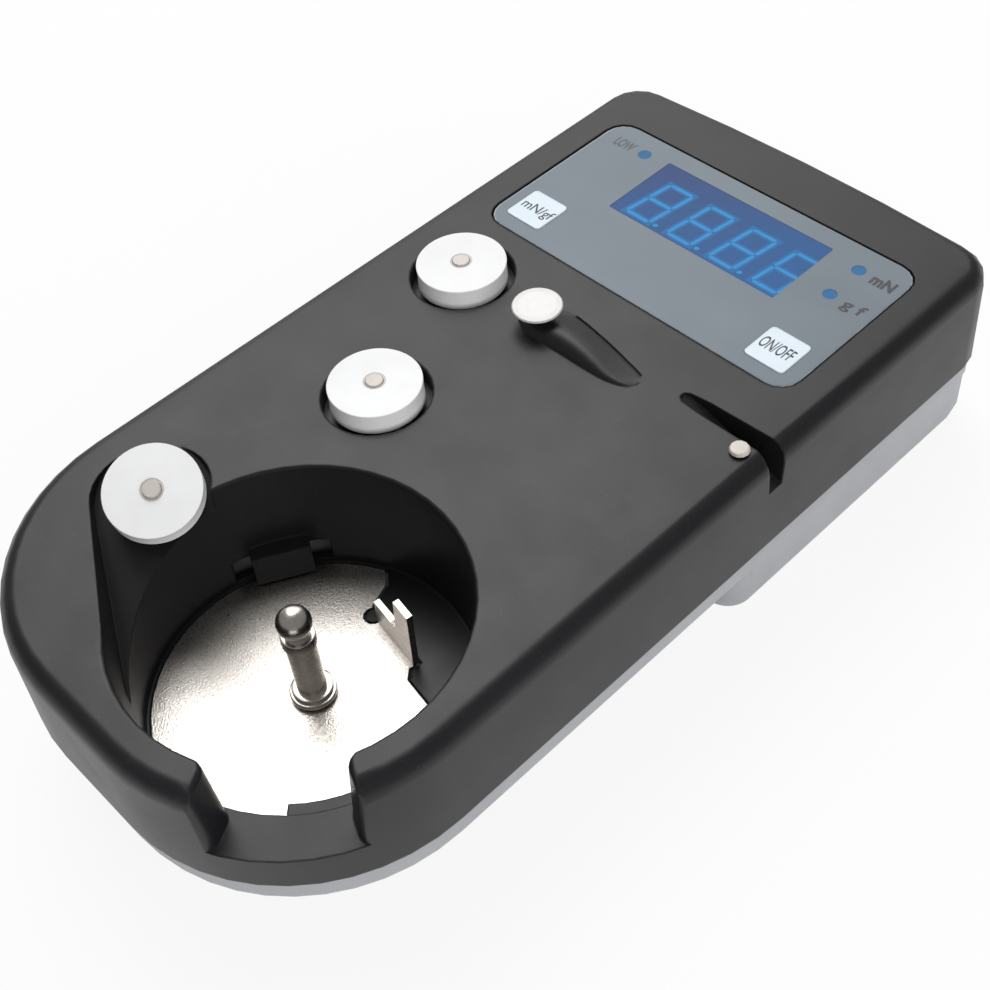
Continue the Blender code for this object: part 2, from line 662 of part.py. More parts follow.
def notch_outline(half_angle):
    """Plan of the notch: radial sides, with the lips rounded towards the well and the outside."""
    outer = FRONT_CORNER_RADIUS
    turn_in = math.asin(NOTCH_LIP_RADIUS / (WELL_RADIUS + NOTCH_LIP_RADIUS))
    turn_out = math.asin(NOTCH_LIP_RADIUS / (outer - NOTCH_LIP_RADIUS))
    side = []
    inner_centre = polar(WELL_RADIUS + NOTCH_LIP_RADIUS, half_angle + turn_in, (0, 0))
    outer_centre = polar(outer - NOTCH_LIP_RADIUS, half_angle + turn_out, (0, 0))
    side.append(polar(WELL_RADIUS - OVERRUN, half_angle + turn_in, (0, 0)))
    side += arc(inner_centre, NOTCH_LIP_RADIUS, half_angle + turn_in + math.pi,
                half_angle + 1.5 * math.pi, BACK_CORNER_STEPS)
    side += arc(outer_centre, NOTCH_LIP_RADIUS, half_angle - math.pi / 2,
                half_angle + turn_out, BACK_CORNER_STEPS)
    side.append(polar(outer + 2 * OVERRUN, half_angle + turn_out, (0, 0)))
    mirrored = [(x, -y) for x, y in reversed(side)]
    outline = []
    for x, y in mirrored[::-1] + side[::-1]:
        angle = math.atan2(y, x) + NOTCH_DIRECTION
        outline.append(polar(math.hypot(x, y), angle))
    return outline


def tab_point(along, across):
    """Plan point given along and across the tab's fold, measured from the fold's middle."""
    cosine = math.cos(TAB_DIRECTION)
    sine = math.sin(TAB_DIRECTION)
    return (TAB_X + along * cosine - across * sine, TAB_Y + along * sine + across * cosine)


def cutout_outline():
    """Plan of the plate's cut-out beyond the fold, open at its rim, with a step at the right end."""
    half = TAB_WIDTH / 2
    shoulder = half + RELIEF_RADIUS
    far = 2 * WELL_RADIUS
    points = [(far, -SHOULDER_DROP), (far, far), (-far / 2, far)]
    points += [(along * TAB_WIDTH, across * TAB_WIDTH) for along, across in reversed(CUTOUT_LEFT_SHARES)]
    points += [(-shoulder, 0), (half, 0), (half, -SHOULDER_DROP / 2), (shoulder, -SHOULDER_DROP)]
    return [tab_point(along, across) for along, across in points]


def relief_middle():
    """How far the middle of a relief notch lies from the fold's line."""
    return -RELIEF_RADIUS / 4


def ledge_outline():
    """Plan of the cover's ledge, which fills the plate's cut-out and its relief notches with a gap."""
    half = TAB_WIDTH / 2 + GAP
    shoulder = TAB_WIDTH / 2 + RELIEF_RADIUS
    notch = RELIEF_RADIUS - GAP
    fold = PLATE_THICKNESS / 2 + GAP
    far = 2 * WELL_RADIUS
    points = [(far, GAP - SHOULDER_DROP), (far, far), (-far / 2, far)]
    for along, across in reversed(CUTOUT_LEFT_SHARES[1:]):
        points.append((along * TAB_WIDTH + GAP, across * TAB_WIDTH + GAP))
    points.append((-shoulder - notch, 2 * GAP))
    points += arc((-shoulder, relief_middle()), notch, math.pi, 2 * math.pi, BACK_CORNER_STEPS)
    points += [(-half, fold), (half, fold)]
    points += arc((shoulder, relief_middle()), notch, math.pi, 1.5 * math.pi, BACK_CORNER_STEPS)
    points.append((shoulder, GAP - SHOULDER_DROP))
    return [tab_point(along, across) for along, across in points]


# Pieces of the case

def make_cover():
    """Soft black cover with its well, pockets, ridge, slot and panel recess."""
    levels = rounded_levels(PARTING_HEIGHT, CASE_HEIGHT, TOP_EDGE_RADIUS, COVER_DRAFT)
    cover = lofted("top_cover", case_outline, levels, black_plastic())
    cut(cover, make_cavity())
    skirt_radius = WELL_FOOT_RADIUS + SKIRT_WALL
    join(cover, cylinder("skirt", skirt_radius, PLATE_UNDERSIDE, LIP_TOP, (WELL_X, WELL_Y), WELL_STEPS))
    cut(cover, make_well_bore())
    cut_catch_pockets(cover)
    cut_notch(cover)
    cut_roller_pockets(cover)
    join(cover, make_ridge())
    cut(cover, make_crease())
    cut_thread_places(cover)
    cut_panel_places(cover)
    for number, place in enumerate(CASE_SCREW_PLACES):
        top = SCREW_SEAT + SCREW_LENGTH + GAP
        cut(cover, cylinder(f"pilot_{number}", SCREW_RADIUS + GAP, PARTING_HEIGHT, top, place,
                            SMALL_ROUND_STEPS))
    for number, place in enumerate(board_screw_places()):
        top = BOARD_UNDERSIDE + BOARD_SCREW_LENGTH + GAP
        cut(cover, cylinder(f"board_pilot_{number}", BOARD_SCREW_RADIUS + GAP, BOARD_UNDERSIDE, top,
                            place, SMALL_ROUND_STEPS))


def make_cavity():
    """Inside of the cover, less the well, the notch's walls, the pockets' cups and the columns."""
    low = PARTING_HEIGHT - OVERRUN
    high = CASE_HEIGHT
    cavity = lofted("cavity", case_outline, [(low, COVER_WALL), (COVER_CEILING, COVER_WALL + COVER_DRAFT)])
    well_place = (WELL_X, WELL_Y)
    cut(cavity, cylinder("well_core", WELL_RADIUS + WELL_WALL, low - OVERRUN, high, well_place))
    first = NOTCH_DIRECTION - NOTCH_CORE_HALF_ANGLE
    last = NOTCH_DIRECTION + NOTCH_CORE_HALF_ANGLE
    sector = arc(well_place, FRONT_CORNER_RADIUS, first, last, FRONT_CORNER_STEPS)
    sector += arc(well_place, WELL_FOOT_RADIUS, last, first, FRONT_CORNER_STEPS)
    cut(cavity, prism("sill_core", sector, LIP_TOP + GAP, high))
    cup_low = CASE_HEIGHT - POCKET_DEPTH - POCKET_FLOOR
    cup_radius = POCKET_RADIUS + POCKET_WALL
    cut(cavity, cylinder("exit_cup", cup_radius, cup_low, high, (EXIT_ROLLER_X, EXIT_ROLLER_Y),
                         HIDDEN_STEPS))
    cut(cavity, cylinder("sensing_cup", cup_radius, cup_low, high, (SENSING_ROLLER_X, SENSING_ROLLER_Y),
                         HIDDEN_STEPS))
    cut(cavity, inclined_prism("inclined_cup", POCKET_WALL, INCLINED_POCKET_DEPTH + POCKET_FLOOR, high))
    slot_length = CASE_WIDTH / 2 - SLOT_START_X
    slot_core = rounded_rectangle(slot_length + SLOT_WALL, SLOT_WIDTH + 2 * (SLOT_WALL + PIN_HEAD_RADIUS),
                                  SLOT_WALL, (SLOT_START_X + slot_length / 2, SLOT_Y - PIN_HEAD_RADIUS / 2))
    cut(cavity, prism("slot_core", slot_core, CASE_HEIGHT - SLOT_DEPTH - SLOT_WALL, high))
    guide_low = COVER_CEILING - GUIDE_TAIL - GAP
    cut(cavity, cylinder("guide_core", GUIDE_NECK_RADIUS + GUIDE_BOSS_WALL, guide_low, high,
                         (GUIDE_X, GUIDE_Y), SMALL_ROUND_STEPS))
    for number, place in enumerate(CASE_SCREW_PLACES):
        cut(cavity, cylinder(f"column_{number}", COLUMN_RADIUS, LIP_TOP + GAP, high, place,
                             SMALL_ROUND_STEPS))
    for number, place in enumerate(board_screw_places()):
        cut(cavity, cylinder(f"board_column_{number}", BOARD_COLUMN_RADIUS, BOARD_TOP + GAP, high, place,
                             SMALL_ROUND_STEPS))
    return cavity


def make_well_bore():
    """The open space of the well, less the ledge at its foot and the two catches on its wall."""
    low = PLATE_UNDERSIDE - OVERRUN
    well_place = (WELL_X, WELL_Y)
    seat = PLATE_RADIUS + GAP
    seat_top = PLATE_TOP - GAP
    levels = [(low, seat), (seat_top, seat), (seat_top, WELL_FOOT_RADIUS)]
    levels += [(height, WELL_RADIUS + growth) for height, growth in flared_levels(low, WELL_EDGE)[1:]]
    rings = [[(x, y, height) for x, y in circle(well_place, radius, WELL_STEPS)]
             for height, radius in levels]
    bore = add("well_bore", loft_mesh("well_bore", rings))
    cut(bore, prism("well_ledge", ledge_outline(), low - OVERRUN, PLATE_TOP))
    catch = [(BACK_CATCH_REACH, -BACK_CATCH_WIDTH / 2), (WELL_RADIUS + OVERRUN, -BACK_CATCH_WIDTH / 2),
             (WELL_RADIUS + OVERRUN, BACK_CATCH_WIDTH / 2), (BACK_CATCH_REACH, BACK_CATCH_WIDTH / 2)]
    cut(bore, prism("back_catch", from_well(catch, BACK_CATCH_DIRECTION), PLATE_TOP + GAP,
                    PLATE_TOP + BACK_CATCH_HEIGHT))
    first = FRONT_CATCH_DIRECTION - FRONT_CATCH_HALF_ANGLE
    last = FRONT_CATCH_DIRECTION + FRONT_CATCH_HALF_ANGLE
    front = arc(well_place, FRONT_CATCH_REACH, last, first, BACK_CORNER_STEPS)
    front += arc(well_place, WELL_RADIUS + OVERRUN, first, last, BACK_CORNER_STEPS)
    top = SILL_HEIGHT - FRONT_CATCH_DROP
    height = (SILL_HEIGHT - PLATE_TOP) * FRONT_CATCH_SHARE
    cut(bore, prism("front_catch", front, top - height, top))
    return bore


def from_well(points, direction):
    """Plan points given outwards and across a direction from the well's centre."""
    cosine = math.cos(direction)
    sine = math.sin(direction)
    return [(WELL_X + out * cosine - across * sine, WELL_Y + out * sine + across * cosine)
            for out, across in points]


def cut_catch_pockets(cover):
    """Pocket in the well's wall at each side of the back catch."""
    for side, name in ((-1, "catch_pocket_left"), (1, "catch_pocket_right")):
        near = side * (BACK_CATCH_WIDTH / 2)
        far = side * (BACK_CATCH_WIDTH / 2 + CATCH_POCKET_WIDTH)
        pocket = [(BACK_CATCH_REACH, near), (CATCH_POCKET_REACH, near),
                  (CATCH_POCKET_REACH, far), (BACK_CATCH_REACH, far)]
        cut(cover, prism(name, from_well(pocket, BACK_CATCH_DIRECTION), PLATE_TOP + GAP,
                         PLATE_TOP + CATCH_POCKET_HEIGHT))


def cut_notch(cover):
    """Front notch, narrower at its sill than at the top, with round upper edges."""
    rings = []
    for height, growth in flared_levels(SILL_HEIGHT, NOTCH_EDGE):
        rise = (height - SILL_HEIGHT) / NOTCH_DEPTH
        half_angle = NOTCH_HALF_ANGLE_SILL + (NOTCH_HALF_ANGLE_TOP - NOTCH_HALF_ANGLE_SILL) * rise
        half_angle += growth / FRONT_CORNER_RADIUS
        rings.append([(x, y, height) for x, y in notch_outline(half_angle)])
    cut(cover, add("notch", loft_mesh("notch", rings)))


def cut_roller_pockets(cover):
    """The three pockets and the holes that their axles pass through."""
    floor = CASE_HEIGHT - POCKET_DEPTH
    through = floor - POCKET_FLOOR - OVERRUN
    exit_place = (EXIT_ROLLER_X, EXIT_ROLLER_Y)
    sensing_place = (SENSING_ROLLER_X, SENSING_ROLLER_Y)
    for name, place in (("exit_pocket", exit_place), ("sensing_pocket", sensing_place)):
        rings = [[(x, y, height) for x, y in circle(place, POCKET_RADIUS + growth, ROUND_STEPS)]
                 for height, growth in flared_levels(floor, POCKET_EDGE)]
        cut(cover, add(name, loft_mesh(name, rings)))
    cut(cover, inclined_prism("inclined_pocket", 0, INCLINED_POCKET_DEPTH, CASE_HEIGHT + OVERRUN))
    cut(cover, cylinder("exit_hole", AXLE_RADIUS + GAP, through, floor + OVERRUN, exit_place,
                        SMALL_ROUND_STEPS))
    cut(cover, cylinder("sensing_hole", SENSING_HOLE_RADIUS, through, floor + OVERRUN, sensing_place,
                        SMALL_ROUND_STEPS))
    tall = INCLINED_POCKET_DEPTH + POCKET_FLOOR + OVERRUN
    hole = prism("inclined_hole", circle((0, 0), AXLE_RADIUS + GAP, SMALL_ROUND_STEPS),
                 -tall, OVERRUN - INCLINED_POCKET_DEPTH, None, inclined_roller_place(), inclined_rotation())
    cut(cover, hole)


def make_ridge():
    """Low ridge that starts round the guide post and runs out to a point towards the slot.

    Its near side is steep and round, its far side a long straight slope.
    """
    rings = []
    low = CASE_HEIGHT - RIDGE_SINK
    for station, near_share, crest_share, far_share, height_share in zip(
            RIDGE_STATION_SHARES, RIDGE_NEAR_SHARES, RIDGE_CREST_SHARES, RIDGE_FAR_SHARES,
            RIDGE_HEIGHT_SHARES):
        x = GUIDE_X - RIDGE_HEAD + RIDGE_LENGTH * station
        near = GUIDE_Y - RIDGE_NEAR_REACH * near_share
        crest = GUIDE_Y - RIDGE_NEAR_REACH * crest_share
        far = GUIDE_Y + RIDGE_FAR_REACH * far_share
        ring = [(x, near, low)]
        for across, up in RIDGE_SECTION_SHARES:
            y = crest + (far - crest) * across if across > 0 else crest + (crest - near) * across
            ring.append((x, y, CASE_HEIGHT + RIDGE_HEIGHT * height_share * up))
        ring.append((x, far, low))
        rings.append(ring)
    return add("ridge", loft_mesh("ridge", rings))


def make_crease():
    """Fine groove along the foot of the ridge's long slope."""
    foot = []
    for station, far_share in zip(RIDGE_STATION_SHARES, RIDGE_FAR_SHARES):
        if CREASE_START_SHARE <= station <= CREASE_END_SHARE:
            x = GUIDE_X - RIDGE_HEAD + RIDGE_LENGTH * station
            foot.append((x, GUIDE_Y + RIDGE_FAR_REACH * far_share))
    outline = [(x, y - CREASE_WIDTH / 2) for x, y in foot]
    outline += [(x, y + CREASE_WIDTH / 2) for x, y in reversed(foot)]
    return prism("ridge_crease", outline, CASE_HEIGHT - CREASE_DEPTH, CASE_HEIGHT + RIDGE_HEIGHT)


def cut_thread_places(cover):
    """Thread slot with its sloping floor, and the holes of the guide post and of the pin."""
    length = CASE_WIDTH / 2 - SLOT_START_X
    rings = []
    for station, near_share, far_share in zip(SLOT_STATION_SHARES, SLOT_NEAR_SHARES, SLOT_FAR_SHARES):
        past_wall = OVERRUN if station == SLOT_STATION_SHARES[-1] else 0
        x = SLOT_START_X + length * station + past_wall
        depth = SLOT_TIP_DEPTH + (SLOT_DEPTH - SLOT_TIP_DEPTH) * station
        near = SLOT_Y - SLOT_WIDTH * near_share
        far = SLOT_Y + SLOT_WIDTH * far_share
        high = CASE_HEIGHT + OVERRUN
        low = CASE_HEIGHT - depth
        rings.append([(x, near, low), (x, far - depth * SLOT_DRAFT_SHARE, low), (x, far, CASE_HEIGHT),
                      (x, far, high), (x, near, high)])
    cut(cover, add("thread_slot", loft_mesh("thread_slot", rings)))
    high = CASE_HEIGHT + RIDGE_HEIGHT + OVERRUN
    cut(cover, cylinder("guide_hole", GUIDE_NECK_RADIUS + GAP, COVER_CEILING - GUIDE_TAIL - OVERRUN, high,
                        (GUIDE_X, GUIDE_Y), SMALL_ROUND_STEPS))
    pin_low = CASE_HEIGHT + PIN_STAND - PIN_LENGTH - GAP
    cut(cover, cylinder("pin_hole", PIN_NECK_RADIUS + GAP, pin_low, high, (PIN_X, PIN_Y),
                        SMALL_ROUND_STEPS))


def cut_panel_places(cover):
    """Recess of the panel, seat and opening of the window, and the holes of the buttons and lamps."""
    high = CASE_HEIGHT + OVERRUN
    through = COVER_CEILING - OVERRUN
    panel = rounded_rectangle(PANEL_WIDTH + 2 * GAP, PANEL_DEPTH + 2 * GAP, PANEL_CORNER_RADIUS + GAP,
                              (PANEL_X, PANEL_Y))
    cut(cover, prism("panel_recess", panel, PANEL_FLOOR, high))
    window_floor = PANEL_TOP - WINDOW_THICKNESS - GAP
    window = rounded_rectangle(WINDOW_WIDTH, WINDOW_DEPTH, WINDOW_CORNER_RADIUS, (WINDOW_X, WINDOW_Y))
    cut(cover, prism("window_seat", window, window_floor, high))
    opening = rounded_rectangle(WINDOW_WIDTH - 2 * WINDOW_LEDGE, WINDOW_DEPTH - 2 * WINDOW_LEDGE,
                                WINDOW_CORNER_RADIUS, (WINDOW_X, WINDOW_Y))
    cut(cover, prism("window_opening", opening, through, high))
    hole_side = BUTTON_SIDE + 2 * GAP
    for name, x in button_places().items():
        hole = rounded_rectangle(hole_side, hole_side, BUTTON_CORNER_RADIUS + GAP, (x, BUTTON_Y))
        cut(cover, prism(f"{name}_hole", hole, through, high))
    for name, place in lamp_places().items():
        cut(cover, cylinder(f"{name}_hole", LAMP_RADIUS + GAP, through, high, place, SMALL_ROUND_STEPS))


def make_base():
    """Grey base: thin rim under the whole case, deep box under its back half."""
    top = PARTING_HEIGHT - GAP
    rim_levels = rounded_levels(RIM_UNDERSIDE, top, RIM_EDGE_RADIUS, from_top=False)
    base = lofted("base_shell", lambda inset: case_outline(BASE_INSET + inset), rim_levels, grey_plastic())
    box_levels = rounded_levels(0, RIM_UNDERSIDE + 2 * RIM_EDGE_RADIUS, BOX_EDGE_RADIUS, from_top=False)
    join(base, lofted("deep_box", lambda inset: box_outline(BOX_INSET + inset), box_levels))
    lip_inset = BASE_INSET + BASE_WALL - LIP_THICKNESS
    join(base, lofted("lip", case_outline, [(top - OVERRUN, lip_inset), (LIP_TOP, lip_inset)]))
    inner = BASE_INSET + BASE_WALL
    cut(base, lofted("rim_hollow", case_outline, [(RIM_FLOOR_TOP, inner), (LIP_TOP + OVERRUN, inner)]))
    inner = BOX_INSET + BASE_WALL
    cut(base, lofted("box_hollow", box_outline, [(BOX_FLOOR, inner), (RIM_FLOOR_TOP + OVERRUN, inner)]))
    add_bay(base)
    add_cell_seat(base)
    add_posts(base)
    cut_door_way(base)
    cut(base, turned("post_screw_seat", post_screw_profile(GAP), None, (WELL_X, WELL_Y, 0),
                     steps=SMALL_ROUND_STEPS))


def add_posts(base):
    """Post for each case screw, with its deep counterbore and its clearance hole."""
    for number, (x, y) in enumerate(CASE_SCREW_PLACES):
        floor = BOX_FLOOR if y > BOX_FRONT_Y else RIM_FLOOR_TOP
        join(base, cylinder(f"post_{number}", COLUMN_RADIUS, floor - GAP, LIP_TOP, (x, y),
                            SMALL_ROUND_STEPS))
        cut(base, cylinder(f"counterbore_{number}", SCREW_HEAD_RADIUS + GAP, -OVERRUN, SCREW_SEAT, (x, y),
                           SMALL_ROUND_STEPS))
        cut(base, cylinder(f"screw_hole_{number}", SCREW_RADIUS + GAP, SCREW_SEAT - OVERRUN,
                           LIP_TOP + OVERRUN, (x, y), SMALL_ROUND_STEPS))


def contact_x():
    """Distance from the middle to the inner face of each contact plate."""
    return BATTERY_LENGTH / 2 + BATTERY_NUB_HEIGHT + CONTACT_BUMP_HEIGHT + GAP


def add_bay(base):
    """Ribs behind the battery contacts."""
    rib_x = contact_x() + CONTACT_THICKNESS + GAP + BAY_RIB / 2
    middle_y = BATTERY_FRONT_Y + BATTERY_PITCH / 2
    depth = BATTERY_PITCH + 2 * BATTERY_RADIUS
    for side, name in ((-1, "bay_rib_left"), (1, "bay_rib_right")):
        rib = rounded_rectangle(BAY_RIB, depth, BAY_RIB / 4, (side * rib_x, middle_y), 1)
        join(base, prism(name, rib, BOX_FLOOR - GAP, BOX_FLOOR + BAY_RIB_HEIGHT))


def cell_end_x():
    return CELL_START_X + CELL_LENGTH


def add_cell_seat(base):
    """Block under the fixed end of the load cell, with its two screw holes."""
    seat = rounded_rectangle(CELL_SEAT_LENGTH, CELL_WIDTH, CELL_SCREW_RADIUS / 2,
                             (cell_end_x() - CELL_SEAT_LENGTH / 2, SENSING_ROLLER_Y), 2)
    join(base, prism("cell_seat", seat, RIM_FLOOR_TOP - GAP, CELL_SEAT_TOP))
    for number, x in enumerate(cell_screw_places()):
        low = CELL_TOP - cell_screw_length()
        cut(base, cylinder(f"cell_pilot_{number}", CELL_SCREW_RADIUS + GAP, low, CELL_SEAT_TOP + OVERRUN,
                           (x, SENSING_ROLLER_Y), SMALL_ROUND_STEPS))


def cut_door_way(base):
    """Opening of the battery door, open at the box's front, with a way out for each lug."""
    width = DOOR_WIDTH + 2 * GAP
    front = BOX_FRONT_Y - OVERRUN
    back = DOOR_BACK_Y + GAP
    opening = rounded_rectangle(width, back - front, GAP, (0, (front + back) / 2), 1)
    cut(base, prism("door_opening", opening, -OVERRUN, BOX_FLOOR + GAP))
    for number, (side, y) in enumerate(lug_places()):
        reach = DOOR_LUG_REACH + 2 * GAP
        notch = rounded_rectangle(2 * reach, DOOR_LUG_LENGTH + 2 * GAP, GAP,
                                  (side * DOOR_WIDTH / 2, y - DOOR_TRAVEL), 1)
        cut(base, prism(f"lug_way_{number}", notch, -OVERRUN, BOX_FLOOR + GAP))


def lug_places():
    middle = BATTERY_FRONT_Y + BATTERY_PITCH / 2 + DOOR_TRAVEL / 2
    return [(side, middle + place * DOOR_LUG_SPACING / 2) for side in (-1, 1) for place in (-1, 1)]


def make_door():
    """Battery door: plate flush with the underside, lugs over the floor's edge, grip grooves."""
    front = BOX_FRONT_Y + BOX_INSET + BOX_EDGE_RADIUS / 2
    middle = (front + DOOR_BACK_Y) / 2
    plate = rounded_rectangle(DOOR_WIDTH, DOOR_BACK_Y - front, BUTTON_CORNER_RADIUS, (0, 0), 2)
    door = prism("battery_door", plate, DOOR_SINK, DOOR_SINK + DOOR_THICKNESS, grey_plastic(),
                 (0, middle, 0))
    low = BOX_FLOOR + GAP
    for number, (side, y) in enumerate(lug_places()):
        reach = DOOR_WIDTH / 2 + DOOR_LUG_REACH
        root = DOOR_WIDTH / 2 - DOOR_LUG_REACH
        centre = (side * (reach + root) / 2, y)
        lug = rounded_rectangle(reach - root, DOOR_LUG_LENGTH, GAP, centre, 1)
        join(door, prism(f"lug_{number}", lug, low, low + DOOR_LUG_THICKNESS))
        foot_width = DOOR_LUG_REACH - GAP
        foot = rounded_rectangle(foot_width, DOOR_LUG_LENGTH - GAP, GAP,
                                 (side * (root + GAP / 2 + foot_width / 2), y), 1)
        join(door, prism(f"lug_foot_{number}", foot, DOOR_SINK + DOOR_THICKNESS / 2, low + GAP))
    for number in range(DOOR_GRIP_COUNT):
        y = front + DOOR_GRIP_PITCH * (number + 2)
        groove = rounded_rectangle(DOOR_GRIP_WIDTH, DOOR_GRIP_GROOVE, DOOR_GRIP_GROOVE / 3, (0, y), 2)
        cut(door, prism(f"grip_{number}", groove, DOOR_SINK - OVERRUN, DOOR_SINK + DOOR_GRIP_DEPTH))


# Well floor and post

def make_bobbin_plate():
    """Nickel plate on the well's floor, with its fold, relief notches and upright tab."""
    well_place = (WELL_X, WELL_Y)
    plate = cylinder("bobbin_plate", PLATE_RADIUS, PLATE_UNDERSIDE, PLATE_TOP, well_place, WELL_STEPS,
                     nickel())
    shoulder = TAB_WIDTH / 2 + RELIEF_RADIUS
    low = PLATE_UNDERSIDE - OVERRUN
    high = PLATE_TOP + OVERRUN
    cut(plate, prism("plate_cutout", cutout_outline(), low, high))
    for name, along in (("relief_left", -shoulder), ("relief_right", shoulder)):
        place = tab_point(along, relief_middle())
        cut(plate, cylinder(name, RELIEF_RADIUS, low, high, place, SMALL_ROUND_STEPS))
    join(plate, make_tab())
    cut(plate, cylinder("plate_hole", POST_SCREW_RADIUS + GAP, low, high, well_place, SMALL_ROUND_STEPS))


def make_tab():
    """The bent-up tab: a low prong and a high prong with a notch between them."""
    half = TAB_WIDTH / 2
    high_start = half - TAB_HIGH_WIDTH
    low_end = high_start - TAB_NOTCH_WIDTH
    face = [(-half, -PLATE_THICKNESS / 2), (half, -PLATE_THICKNESS / 2),
            (half + TAB_LEAN, TAB_HIGH_HEIGHT), (high_start + TAB_LEAN, TAB_HIGH_HEIGHT),
            (high_start, TAB_LOW_HEIGHT), (low_end, TAB_LOW_HEIGHT - TAB_NOTCH_WIDTH / 2),
            (low_end - TAB_NOTCH_WIDTH / 2, TAB_LOW_HEIGHT), (-half, TAB_LOW_HEIGHT)]
    rings = []
    for across in (-PLATE_THICKNESS / 2, PLATE_THICKNESS / 2):
        rings.append([(*tab_point(along, across), PLATE_TOP + up) for along, up in face])
    return add("tab", loft_mesh("tab", rings))


def make_bobbin_post():
    """Turned post with a double collar, a slim shaft, a head and a ball, bored for its screw."""
    foot = PLATE_TOP + GAP
    ball_low = POST_BALL_CENTRE - math.sqrt(POST_BALL_RADIUS ** 2 - POST_NECK_RADIUS ** 2)
    head_top = ball_low - POST_NECK_HEIGHT
    edge = POST_NECK_HEIGHT / 4
    bore = POST_SCREW_RADIUS + GAP
    profile = [(bore, foot + POST_BORE_DEPTH), (bore, foot), (POST_COLLAR_RADIUS - edge, foot),
               (POST_COLLAR_RADIUS, foot + edge), (POST_COLLAR_RADIUS, foot + POST_COLLAR_HEIGHT - edge),
               (POST_COLLAR_RADIUS - edge, foot + POST_COLLAR_HEIGHT),
               (POST_STEP_RADIUS, foot + POST_COLLAR_HEIGHT),
               (POST_STEP_RADIUS, foot + POST_COLLAR_HEIGHT + POST_STEP_HEIGHT - edge),
               (POST_STEP_RADIUS - edge, foot + POST_COLLAR_HEIGHT + POST_STEP_HEIGHT),
               (POST_SHAFT_RADIUS, foot + POST_COLLAR_HEIGHT + POST_STEP_HEIGHT),
               (POST_SHAFT_RADIUS, head_top - POST_HEAD_HEIGHT),
               (POST_HEAD_RADIUS, head_top - POST_HEAD_HEIGHT + edge),
               (POST_HEAD_RADIUS, head_top - edge), (POST_HEAD_RADIUS - edge, head_top),
               (POST_NECK_RADIUS, head_top)]
    start = math.atan2(ball_low - POST_BALL_CENTRE, POST_NECK_RADIUS)
    for step in range(BALL_STEPS):
        angle = start + (math.pi / 2 - start) * step / BALL_STEPS
        profile.append((POST_BALL_RADIUS * math.cos(angle),
                        POST_BALL_CENTRE + POST_BALL_RADIUS * math.sin(angle)))
    turned("bobbin_post", profile, steel(), (WELL_X, WELL_Y, 0), steps=POST_STEPS)


def post_screw_profile(margin):
    """Countersunk screw in the rim's floor; with a margin, the seat that it needs."""
    low = RIM_UNDERSIDE + (GAP / 2 if margin == 0 else -OVERRUN)
    cone_low = RIM_UNDERSIDE + GAP
    cone_high = RIM_FLOOR_TOP - GAP
    head = POST_SCREW_HEAD_RADIUS + margin
    shank = POST_SCREW_RADIUS + margin
    top = PLATE_TOP + POST_BORE_DEPTH - GAP if margin == 0 else RIM_FLOOR_TOP + OVERRUN
    return [(head, low), (head, cone_low), (shank, cone_high), (shank, top)]


def make_post_screw():
    turned("post_screw", post_screw_profile(0), steel(), (WELL_X, WELL_Y, 0), steps=SMALL_ROUND_STEPS)


# Rollers, axles and thread guides

def roller_profile(thickness, grooved=True):
    """Closed section of a roller: slightly domed top, soft edges and a narrow thread groove."""
    bore = AXLE_RADIUS + GAP
    low = -thickness
    profile = [(bore, 0), (bore, low), (ROLLER_RADIUS - ROLLER_EDGE, low),
               (ROLLER_RADIUS, low + ROLLER_EDGE)]
    if grooved:
        profile += [(ROLLER_RADIUS, -GROOVE_DROP - GROOVE_WIDTH / 2),
                    (ROLLER_RADIUS - GROOVE_DEPTH, -GROOVE_DROP),
                    (ROLLER_RADIUS, -GROOVE_DROP + GROOVE_WIDTH / 2)]
    corner = (ROLLER_RADIUS - ROLLER_EDGE, -ROLLER_DOME - ROLLER_EDGE)
    profile += arc(corner, ROLLER_EDGE, 0, math.pi / 2, FLARE_STEPS)
    profile.append((ROLLER_RADIUS / 2, -ROLLER_DOME / 3))
    return profile


def axle_profile(thickness, depth, tail, stand):
    """Section of an axle, from the middle of the roller's top face down."""
    shoulder_high = -thickness - GAP
    shoulder_low = GAP - depth
    return [(AXLE_RADIUS, -tail), (AXLE_RADIUS, shoulder_low), (AXLE_SHOULDER_RADIUS, shoulder_low),
            (AXLE_SHOULDER_RADIUS, shoulder_high), (AXLE_RADIUS, shoulder_high),
            (AXLE_RADIUS, stand - AXLE_EDGE), (AXLE_RADIUS - AXLE_EDGE, stand)]


